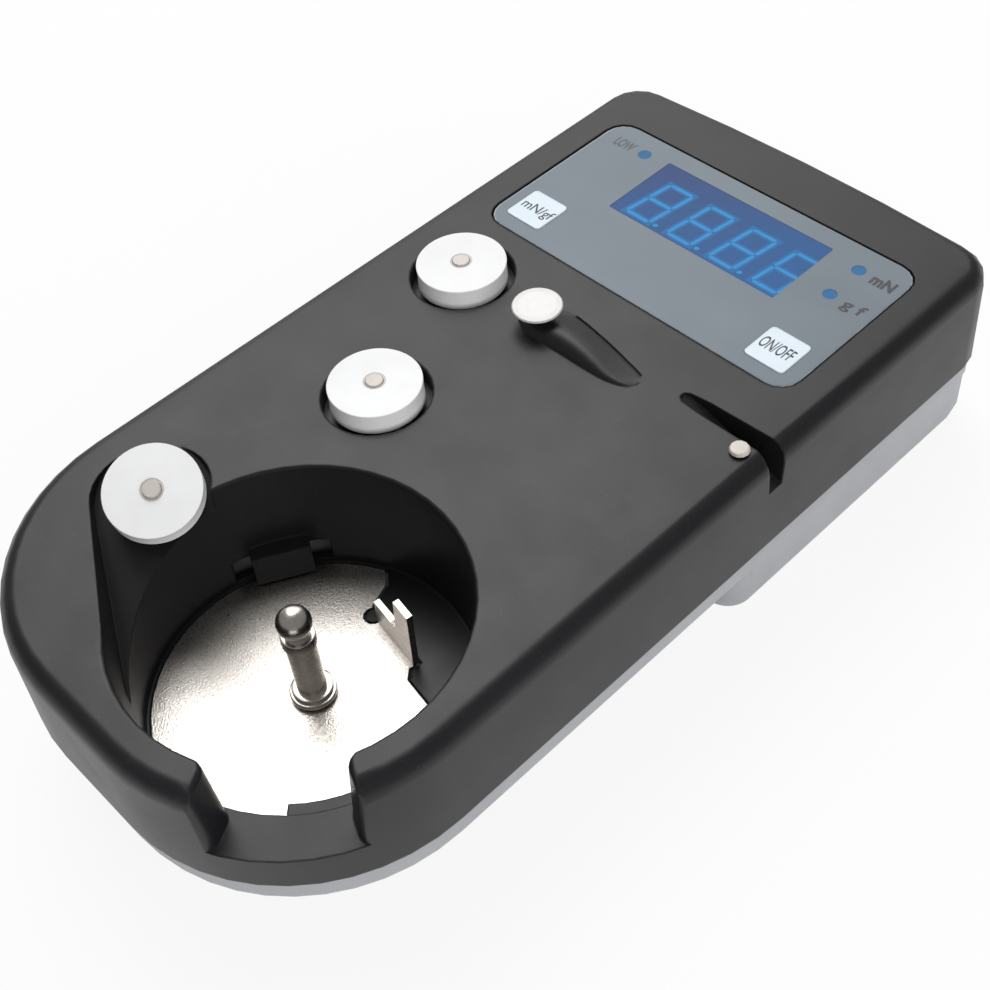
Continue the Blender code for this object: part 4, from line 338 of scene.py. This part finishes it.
def moulded_black():
    s = Surface("moulded_black", (0.018, 0.018, 0.02), 0.42)
    s.tint(s.ramp(s.noise(0.7, 3.0), 0.4, 0.7), (0.026, 0.026, 0.028))
    s.round_edges(0.15)
    s.bump(s.noise(4.0, 2.0), 0.2, 0.01)
    return s.mat


def battery_jacket():
    s = Surface("battery_jacket", (0.05, 0.05, 0.055), 0.30, 0.2)
    s.tint(s.along(0, *BATTERY_BAND), (0.42, 0.30, 0.14), 0.8)
    s.gloss(s.ramp(s.noise(0.4, 3.0), 0.3, 0.7), 0.24, 0.34)
    s.bump(s.noise(2.0, 2.0), 0.05, 0.01)
    return s.mat


def ribbon_grey():
    s = Surface("ribbon_grey", (0.42, 0.42, 0.42), 0.5)
    s.tint(s.ramp(s.noise(1.0, 0.0, 0.5, (4, 0.01, 0.01)), 0.45, 0.55), (0.30, 0.30, 0.30))
    s.bump(s.noise(1.0, 0.0, 0.5, (4, 0.01, 0.01)), 0.3, 0.1)
    return s.mat


def mark_ink():
    s = Surface("mark_ink", (0.020, 0.024, 0.032), 0.4)
    s.tint(s.ramp(s.noise(3.0, 2.0), 0.35, 0.7), (0.032, 0.038, 0.048))
    return s.mat


def mark_grey():
    s = Surface("mark_grey", (0.060, 0.072, 0.082), 0.4)
    s.tint(s.ramp(s.noise(3.0, 2.0), 0.35, 0.7), (0.080, 0.094, 0.105))
    return s.mat


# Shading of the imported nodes

def smooth_group():
    """Geometry nodes that make faces smooth and keep the edges past an angle sharp."""
    group = bpy.data.node_groups.new("smooth_by_angle", "GeometryNodeTree")
    group.interface.new_socket("Geometry", in_out="INPUT", socket_type="NodeSocketGeometry")
    group.interface.new_socket("Geometry", in_out="OUTPUT", socket_type="NodeSocketGeometry")
    make = group.nodes.new
    start, end = make("NodeGroupInput"), make("NodeGroupOutput")
    faces, edges = make("GeometryNodeSetShadeSmooth"), make("GeometryNodeSetShadeSmooth")
    edges.domain = "EDGE"
    edges.inputs["Shade Smooth"].default_value = False
    angle, compare = make("GeometryNodeInputMeshEdgeAngle"), make("FunctionNodeCompare")
    compare.operation = "GREATER_THAN"
    compare.inputs[1].default_value = SHARP_ANGLE
    link = group.links.new
    link(start.outputs[0], faces.inputs["Geometry"])
    link(faces.outputs["Geometry"], edges.inputs["Geometry"])
    link(angle.outputs["Unsigned Angle"], compare.inputs[0])
    link(compare.outputs["Result"], edges.inputs["Selection"])
    link(edges.outputs["Geometry"], end.inputs[0])
    return group


def smooth(piece, group):
    """Weld, flatten, smooth by angle and weight normals by area, all as modifiers."""
    if "custom_normal" in piece.data.attributes:
        piece.data.attributes.remove(piece.data.attributes["custom_normal"])
    weld = piece.modifiers.new("weld", "WELD")
    weld.merge_threshold = WELD
    flat = piece.modifiers.new("flat", "DECIMATE")
    flat.decimate_type = "DISSOLVE"
    flat.angle_limit = FLAT_ANGLE
    piece.modifiers.new("smooth", "NODES").node_group = group
    weigh = piece.modifiers.new("weigh", "WEIGHTED_NORMAL")
    weigh.mode = "FACE_AREA"
    weigh.keep_sharp = True


def dress(material, *names):
    for name in names:
        data = nodes[name].data
        data.materials.clear()
        data.materials.append(material)


def numbered(stem, count):
    return [f"{stem}_{number}" for number in range(1, count + 1)]


def dress_nodes():
    group = smooth_group()
    for node in nodes.values():
        smooth(node, group)
    dress(cover_black(), "top_cover")
    dress(base_grey(), "base_shell", "battery_door")
    dress(film_edge_highlight(), "display_overlay")
    dress(window_clear(), "display_window")
    dress(lamp_blue(), "lamp_low", "lamp_upper", "lamp_lower")
    dress(button_white(), "button_unit", "button_power")
    dress(plate_nickel(), "bobbin_plate", "battery_contact_left", "battery_contact_right")
    dress(flange_steel(), "guide_post")
    dress(pin_steel(), "slot_pin", "axle_exit", "axle_sensing", "axle_inclined")
    dress(dull_steel(), "post_screw", *numbered("case_screw", 5), *numbered("board_screw", 2),
          *numbered("load_cell_screw", 2))
    dress(milled_aluminium(), "load_cell")
    dress(board_green(), "circuit_board")
    dress(moulded_black(), "display_module", "processor_chip", "amplifier_chip", "switch_unit", "switch_power")
    dress(battery_jacket(), "battery_1", "battery_2")
    dress(ribbon_grey(), "sensor_ribbon")


# Added pieces

def circle(radius, sides):
    angles = (2 * math.pi * side / sides for side in range(sides))
    return [(radius * math.cos(angle), radius * math.sin(angle)) for angle in angles]


def loop(centre, half_width, half_depth, radius, steps=5):
    """Rectangle with round corners, in metres; a circle where the radius is the whole half width."""
    points = []
    for side_x, side_y, start in ((1, -1, -0.5), (1, 1, 0), (-1, 1, 0.5), (-1, -1, 1)):
        for step in range(steps + 1):
            angle = (start + 0.5 * step / steps) * math.pi
            points.append((centre[0] + side_x * (half_width - radius) + radius * math.cos(angle),
                           centre[1] + side_y * (half_depth - radius) + radius * math.sin(angle)))
    return points


def ring(centre, radius):
    return loop(centre, radius, radius, radius, 7)


def add_piece(shape, name, material, body):
    """Object of a finished mesh, in its material and on its body."""
    mesh = bpy.data.meshes.new(name)
    shape.to_mesh(mesh)
    shape.free()
    piece = bpy.data.objects.new(name, mesh)
    bpy.context.scene.collection.objects.link(piece)
    mesh.materials.append(material)
    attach(piece, body)
    return piece


def flat_piece(name, outlines, low, thick, material, body):
    """Thin sheet from plan outlines in metres; an outline inside another one is a hole."""
    shape = bmesh.new()
    edges = []
    for outline in outlines:
        verts = [shape.verts.new((x, y, low)) for x, y in outline]
        edges += [shape.edges.new((verts[number - 1], verts[number])) for number in range(len(verts))]
    bmesh.ops.triangle_fill(shape, edges=edges, use_beauty=True)
    made = bmesh.ops.extrude_face_region(shape, geom=list(shape.faces))["geom"]
    verts = [item for item in made if isinstance(item, bmesh.types.BMVert)]
    bmesh.ops.translate(shape, verts=verts, vec=(0, 0, thick))
    bmesh.ops.recalc_face_normals(shape, faces=shape.faces)
    add_piece(shape, name, material, body)


def middle(node):
    low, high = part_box(node)
    return (low + high) / 2


def half_size(node):
    low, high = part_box(node)
    return (high - low) / 2


# Printed film over the panel: lit blue layers first, then the grey film with openings over them. Sizes without
# MM are in mm.

TINT_HEIGHT = 0.010 * MM
HALO_HEIGHT = 0.022 * MM
SEGMENT_HEIGHT = 0.034 * MM
FILM_HEIGHT = 0.046 * MM
FILM_THICK = 0.014 * MM
LAYER_THICK = 0.010 * MM
FILM_SHIFT = 0.055
FILM_REACH = (-0.14, 0.0)
FILM_CORNER = 3.1 * MM
WINDOW_SHIFT = (0.095, 0.07)
WINDOW_HALF = (14.24 * MM, 6.25 * MM)
WINDOW_CORNER = 0.25 * MM
CAP_REACH = 3.09 * MM
CAP_CORNER = 0.62 * MM
LAMP_RADIUS = 0.98 * MM
LAMP_PLACES = {"low": (-17.97, 48.17), "upper": (19.38, 47.84), "lower": (19.38, 41.84)}
OVERLAP = 0.3 * MM
SEGMENT_PITCH = 3.96
DIGIT_WIDTH = 4.05
SEGMENT_WIDTH = 0.54
HALO_REACH = 0.62
SEGMENT_GAP = 0.36
DIGIT_PITCH = 7.28
DIGIT_SLANT = 0.13
DIGIT_START = (-11.745, -5.20)
DOT_RADIUS = 0.36
DOT_PLACE = (5.15, 0.10)
DOT_SIDES = 16
DIGITS = 4
MARK_LIFT = 0.008 * MM
MARK_DEPTH = 0.004 * MM
LAMP_MARKS = (("mark_low", "LOW", (-21.8, 48.1), (3.3, 2.0), 0.045),
              ("mark_mn", "mN", (23.3, 47.65), (3.4, 2.1), 0.045),
              ("mark_gf", "g f", (23.2, 41.65), (3.2, 2.5), 0.025))
BUTTON_MARKS = (("mark_unit", "mN/gf", "button_unit", 0.05, (5.3, 2.25), "unit_button"),
                ("mark_power", "ON/OFF", "button_power", -0.15, (4.9, 2.1), "power_button"))
BUTTON_WEIGHT = 0.01


def panel_top():
    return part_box("display_overlay")[1].z


def window_centre():
    centre = middle("display_window")
    return Vector((centre.x + WINDOW_SHIFT[0] * MM, centre.y + WINDOW_SHIFT[1] * MM))


def lamp_centres():
    return {name: (place[0] * MM, place[1] * MM) for name, place in LAMP_PLACES.items()}


def make_film():
    """Grey film, open over the window, the lamps and the caps."""
    centre = middle("display_overlay")
    half = half_size("display_overlay")
    outlines = [loop((centre.x + FILM_SHIFT * MM, centre.y), half.x + FILM_REACH[0] * MM,
                     half.y + FILM_REACH[1] * MM, FILM_CORNER),
                loop(window_centre(), *WINDOW_HALF, WINDOW_CORNER)]
    outlines += [ring(place, LAMP_RADIUS) for place in lamp_centres().values()]
    for name in ("button_unit", "button_power"):
        outlines.append(loop(middle(name), CAP_REACH, CAP_REACH, CAP_CORNER))
    flat_piece("printed_film", outlines, panel_top() + FILM_HEIGHT, FILM_THICK, panel_film(), "case")


def make_window():
    """Blue window and lamp dots, which reach a little under the grey film."""
    low = panel_top() + TINT_HEIGHT
    half = [value + OVERLAP for value in WINDOW_HALF]
    flat_piece("window_tint", [loop(window_centre(), *half, WINDOW_CORNER)], low, LAYER_THICK, window_tint(),
               "case")
    material = lit_blue("lamp_dot", (0.040, 0.155, 0.33), (0.048, 0.175, 0.36))
    for name, place in lamp_centres().items():
        flat_piece(f"lamp_dot_{name}", [ring(place, LAMP_RADIUS + OVERLAP)], low, LAYER_THICK, material, "case")


def bar(start, end):
    """Six-cornered bar between two points, in mm, with its ends drawn in from the corners."""
    across = (end[0] - start[0], end[1] - start[1])
    length = math.hypot(*across)
    along = (across[0] / length, across[1] / length)
    side = (-along[1], along[0])
    half = SEGMENT_WIDTH / 2
    tip = SEGMENT_GAP - half
    shape = [(tip, 0), (tip + half, -half), (length - tip - half, -half),
             (length - tip, 0), (length - tip - half, half), (tip + half, half)]
    return [(start[0] + along[0] * a + side[0] * b, start[1] + along[1] * a + side[1] * b) for a, b in shape]


def on_digit(number, points):
    """Points of a digit, in mm from its first corner, leaned and put in place, in metres."""
    centre = middle("display_window")
    start = (DIGIT_START[0] + number * DIGIT_PITCH, DIGIT_START[1])
    return [(centre.x + (start[0] + x + y * DIGIT_SLANT) * MM, centre.y + (start[1] + y) * MM)
            for x, y in points]


def square(low_x, high_x, low_y, high_y):
    return [(low_x, low_y), (high_x, low_y), (high_x, high_y), (low_x, high_y)]


def make_digits():
    """Four digits of seven bars and a point, with the soft light round them."""
    bright = lit_blue("lit_bar", (0.042, 0.270, 0.60), (0.050, 0.290, 0.63))
    soft = lit_blue("lit_halo", (0.034, 0.155, 0.38), (0.038, 0.168, 0.40))
    rows = (0, SEGMENT_PITCH, 2 * SEGMENT_PITCH)
    halo = [square(-HALO_REACH, DIGIT_WIDTH + HALO_REACH, -HALO_REACH, rows[2] + HALO_REACH)]
    halo += [square(HALO_REACH, DIGIT_WIDTH - HALO_REACH, row + HALO_REACH, row + SEGMENT_PITCH - HALO_REACH)
             for row in rows[:2]]
    bars = [bar((0, row), (DIGIT_WIDTH, row)) for row in rows]
    bars += [bar((column, row), (column, row + SEGMENT_PITCH))
             for column in (0, DIGIT_WIDTH) for row in rows[:2]]
    bars.append([(DOT_PLACE[0] + x, DOT_PLACE[1] + y) for x, y in circle(DOT_RADIUS, DOT_SIDES)])
    for number in range(DIGITS):
        for part, height, outlines, material in (("bars", SEGMENT_HEIGHT, bars, bright),
                                                 ("halo", HALO_HEIGHT, halo, soft)):
            flat_piece(f"digit_{number + 1}_{part}", [on_digit(number, points) for points in outlines],
                       panel_top() + height, LAYER_THICK, material, "case")


def mark(name, words, place, z, size, body, material, weight):
    """Small printed mark, lying flat, centred at a place in metres; its width, height and weight are in mm."""
    curve = bpy.data.curves.new(name, "FONT")
    curve.body = words
    curve.size = MM
    curve.align_x = "CENTER"
    curve.align_y = "CENTER"
    curve.extrude = MARK_DEPTH
    curve.offset = weight * MM
    curve.resolution_u = 4
    curve.materials.append(material)
    piece = bpy.data.objects.new(name, curve)
    bpy.context.scene.collection.objects.link(piece)
    bpy.context.view_layer.update()
    piece.scale = (size[0] * MM / piece.dimensions.x, size[1] * MM / piece.dimensions.y, 1)
    piece.location = (*place, z + MARK_LIFT)
    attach(piece, body)


def make_marks():
    """Generic marks: units beside the lamps, and what each button switches."""
    ink, grey = mark_ink(), mark_grey()
    top = panel_top() + FILM_HEIGHT + FILM_THICK
    for name, words, place, size, weight in LAMP_MARKS:
        material = grey if name == "mark_low" else ink
        mark(name, words, (place[0] * MM, place[1] * MM), top, size, "case", material, weight)
    for name, words, node, shift, size, body in BUTTON_MARKS:
        centre = middle(node)
        mark(name, words, (centre.x + shift * MM, centre.y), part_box(node)[1].z, size, body, ink,
             BUTTON_WEIGHT)


# Bobbin post, in mm

TURNED_SIDES = 72
BALL_RADIUS = 2.1
BALL_STEPS = 22
NECK_RADIUS = 1.4
POST_PROFILE = ((0.0, 0.0), (2.70, 0.0), (2.80, 0.04), (2.85, 0.14), (2.85, 0.56), (2.80, 0.66), (2.70, 0.70),
                (2.50, 0.70), (2.50, 1.15), (2.46, 1.25), (2.35, 1.30), (1.80, 1.30))
HEAD_PROFILE = ((1.80, -2.2), (2.00, -2.12), (2.05, -2.05), (2.05, -0.75), (2.01, -0.65), (1.90, -0.60),
                (1.40, -0.60))


def turned(name, profile, place, material, body, hollow=False):
    """Turned piece from a profile of radii and heights in mm; a hollow one is closed round its bore."""
    shape = bmesh.new()
    rings = []
    for radius, height in profile:
        points = circle(radius, TURNED_SIDES) if radius else [(0, 0)]
        rings.append([shape.verts.new((x * MM, y * MM, height * MM)) for x, y in points])
    following = rings[1:] + rings[:1] if hollow else rings[1:]
    for low, high in zip(rings, following):
        for side in range(TURNED_SIDES):
            corners = [low[side % len(low)], low[(side + 1) % len(low)],
                       high[(side + 1) % len(high)], high[side % len(high)]]
            shape.faces.new(list(dict.fromkeys(corners))).smooth = True
    bmesh.ops.recalc_face_normals(shape, faces=shape.faces)
    for edge in shape.edges:
        if edge.calc_face_angle(0) > SHARP_ANGLE:
            edge.smooth = False
    shape.transform(place)
    return add_piece(shape, name, material, body)


def make_post():
    """Bobbin post with a round ball head, in place of the solid one."""
    low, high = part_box("bobbin_post")
    ball = (high.z - low.z) / MM - BALL_RADIUS
    start = -math.acos(NECK_RADIUS / BALL_RADIUS)
    neck = ball + BALL_RADIUS * math.sin(start)
    profile = list(POST_PROFILE) + [(radius, neck + height) for radius, height in HEAD_PROFILE]
    for step in range(BALL_STEPS + 1):
        angle = start + (math.pi / 2 - start) * step / BALL_STEPS
        radius = 0 if step == BALL_STEPS else BALL_RADIUS * math.cos(angle)
        profile.append((radius, ball + BALL_RADIUS * math.sin(angle)))
    foot = Matrix.Translation(((low.x + high.x) / 2, (low.y + high.y) / 2, low.z))
    piece = turned("post_turned", profile, foot, turned_steel(), "case")
    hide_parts("bobbin_post")


# Rollers, in mm; drops are measured from the top face

ROLLER_RADIUS = 6.0
ROLLER_BORE = 1.46
ROLLER_WAIST = 0.05
WAIST_STEPS = 6
BORE_DROP = 0.005
CROWN_DROP = 0.05
RIM_BEVEL = 0.07
RIM_DROP = 0.18
BUSH_INNER = 1.18
BUSH_GAP = 0.01
BUSH_DROP = 0.03
BUSH_LIFT = 0.1
INCLINED_THICK = 2.2
INCLINED_TOP = (-17.2 * MM, -38.0 * MM, 28.5 * MM)
INCLINED_TILT = math.radians(21)
INCLINED_DIRECTION = math.radians(-35)


def roller_places():
    """Middle of each roller's top face, with its axis along Z, and its thickness in mm."""
    lean = Vector((math.sin(INCLINED_TILT) * math.cos(INCLINED_DIRECTION),
                   math.sin(INCLINED_TILT) * math.sin(INCLINED_DIRECTION), math.cos(INCLINED_TILT)))
    turn = Vector((0, 0, 1)).rotation_difference(lean).to_matrix().to_4x4()
    places = {"inclined": (Matrix.Translation(INCLINED_TOP) @ turn, INCLINED_THICK)}
    for name in ("exit", "sensing"):
        low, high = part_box(f"roller_{name}")
        place = Matrix.Translation(((low.x + high.x) / 2, (low.y + high.y) / 2, high.z))
        places[name] = (place, (high.z - low.z) / MM)
    return places


def make_rollers():
    """Rollers with a crisp rim and a slight waist, and a grey bush round each axle."""
    white, grey = roller_white(), bush_grey()
    for name, (place, thick) in roller_places().items():
        low, high = -thick + RIM_BEVEL, -RIM_DROP - RIM_BEVEL
        profile = [(ROLLER_BORE, -BORE_DROP), (ROLLER_BORE, -thick), (ROLLER_RADIUS - RIM_BEVEL, -thick)]
        profile += [(ROLLER_RADIUS - ROLLER_WAIST * math.sin(math.pi * step / WAIST_STEPS),
                     low + (high - low) * step / WAIST_STEPS) for step in range(WAIST_STEPS + 1)]
        profile += [(ROLLER_RADIUS - RIM_BEVEL, -RIM_DROP), (ROLLER_RADIUS / 2, -CROWN_DROP)]
        body = f"{name}_roller"
        piece = turned(f"roller_{name}_turned", profile, place, white, body, hollow=True)
        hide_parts(f"roller_{name}")
        bush = [(BUSH_INNER, -BUSH_DROP), (BUSH_INNER, -thick + BUSH_LIFT),
                (ROLLER_BORE - BUSH_GAP, -thick + BUSH_LIFT), (ROLLER_BORE - BUSH_GAP, -BUSH_DROP)]
        turned(f"bush_{name}", bush, place, grey, body, hollow=True)


# Studio

FLOOR_SIZE = 3.0
FLOOR_DROP = 0.05 * MM
FLOOR_WHITE = 0.88
WORLD_LEVEL = 0.24
BACKDROP_LEVEL = 0.97
LAMPS = (("soft_back_left", (-0.62, 0.52, 0.62), (1.15, 1.0), 4.9, True),
         ("soft_top", (-0.42, 0.24, 0.86), (0.6, 0.6), 3.9, True),
         ("soft_fill", (0.68, -0.24, 0.34), (1.1, 0.6), 4.9, False))


def area_light(name, place, size, power, in_gloss):
    """Soft rectangular lamp that faces the middle of the part."""
    light = bpy.data.lights.new(name, "AREA")
    light.shape = "RECTANGLE"
    light.size, light.size_y = size
    light.energy = power
    piece = bpy.data.objects.new(name, light)
    piece.location = place
    piece.rotation_euler = Vector(place).to_track_quat("Z", "Y").to_euler()
    piece.visible_glossy = in_gloss
    bpy.context.scene.collection.objects.link(piece)


def make_floor():
    """Pale floor that shows white to the camera and in gloss, and keeps a soft shadow."""
    shape = bmesh.new()
    bmesh.ops.create_grid(shape, x_segments=2, y_segments=2, size=FLOOR_SIZE)
    mesh = bpy.data.meshes.new("floor")
    shape.to_mesh(mesh)
    shape.free()
    floor = bpy.data.objects.new("floor", mesh)
    floor.location = (0, 0, -FLOOR_DROP)
    bpy.context.scene.collection.objects.link(floor)
    s = Surface("floor_white", (0.90, 0.90, 0.90), 0.6)
    s.tint(s.ramp(s.noise(0.003, 2.0), 0.3, 0.7), (0.88, 0.88, 0.88))
    path = s.node("ShaderNodeLightPath")
    seen = s.node("ShaderNodeMath", operation="MAXIMUM")
    s.link(path.outputs["Is Camera Ray"], seen.inputs[0])
    s.link(path.outputs["Is Glossy Ray"], seen.inputs[1])
    clear = s.node("ShaderNodeMath", operation="MAXIMUM")
    s.link(seen.outputs[0], clear.inputs[0])
    s.link(path.outputs["Is Transmission Ray"], clear.inputs[1])
    white = s.node("ShaderNodeEmission")
    blend = s.node("ShaderNodeMixShader")
    s.link(s.times(clear.outputs[0], FLOOR_WHITE), blend.inputs[0])
    s.link(s.bsdf.outputs[0], blend.inputs[1])
    s.link(white.outputs[0], blend.inputs[2])
    s.link(blend.outputs[0], s.tree.nodes["Material Output"].inputs["Surface"])
    mesh.materials.append(s.mat)


def make_studio():
    """White backdrop that lights more weakly than it shows, and three soft lamps."""
    world = bpy.data.worlds.new("studio")
    bpy.context.scene.world = world
    world.use_nodes = True
    background = world.node_tree.nodes["Background"]
    background.inputs["Color"].default_value = (1, 1, 1, 1)
    path = world.node_tree.nodes.new("ShaderNodeLightPath")
    level = world.node_tree.nodes.new("ShaderNodeMapRange")
    level.inputs["To Min"].default_value = WORLD_LEVEL
    level.inputs["To Max"].default_value = BACKDROP_LEVEL
    world.node_tree.links.new(path.outputs["Is Camera Ray"], level.inputs["Value"])
    world.node_tree.links.new(level.outputs["Result"], background.inputs["Strength"])
    for lamp in LAMPS:
        area_light(*lamp)
    bpy.context.scene.view_settings.view_transform = "Standard"


def make_camera():
    data = bpy.data.cameras.new("camera")
    data.lens = FOCAL
    data.sensor_width = 36
    data.sensor_fit = "HORIZONTAL"
    data.clip_start = 0.01
    data.clip_end = 20
    camera = bpy.data.objects.new("camera", data)
    camera.matrix_world = (Matrix.Translation(CAMERA_PLACE) @ Matrix.Rotation(CAMERA_AZIMUTH, 4, "Z")
                           @ Matrix.Rotation(math.pi / 2 - CAMERA_ELEVATION, 4, "X")
                           @ Matrix.Rotation(-CAMERA_ROLL, 4, "Z"))
    bpy.context.scene.collection.objects.link(camera)
    bpy.context.scene.camera = camera


make_camera()
dress_nodes()
make_film()
make_window()
make_digits()
make_marks()
make_post()
make_rollers()
make_floor()
make_studio()
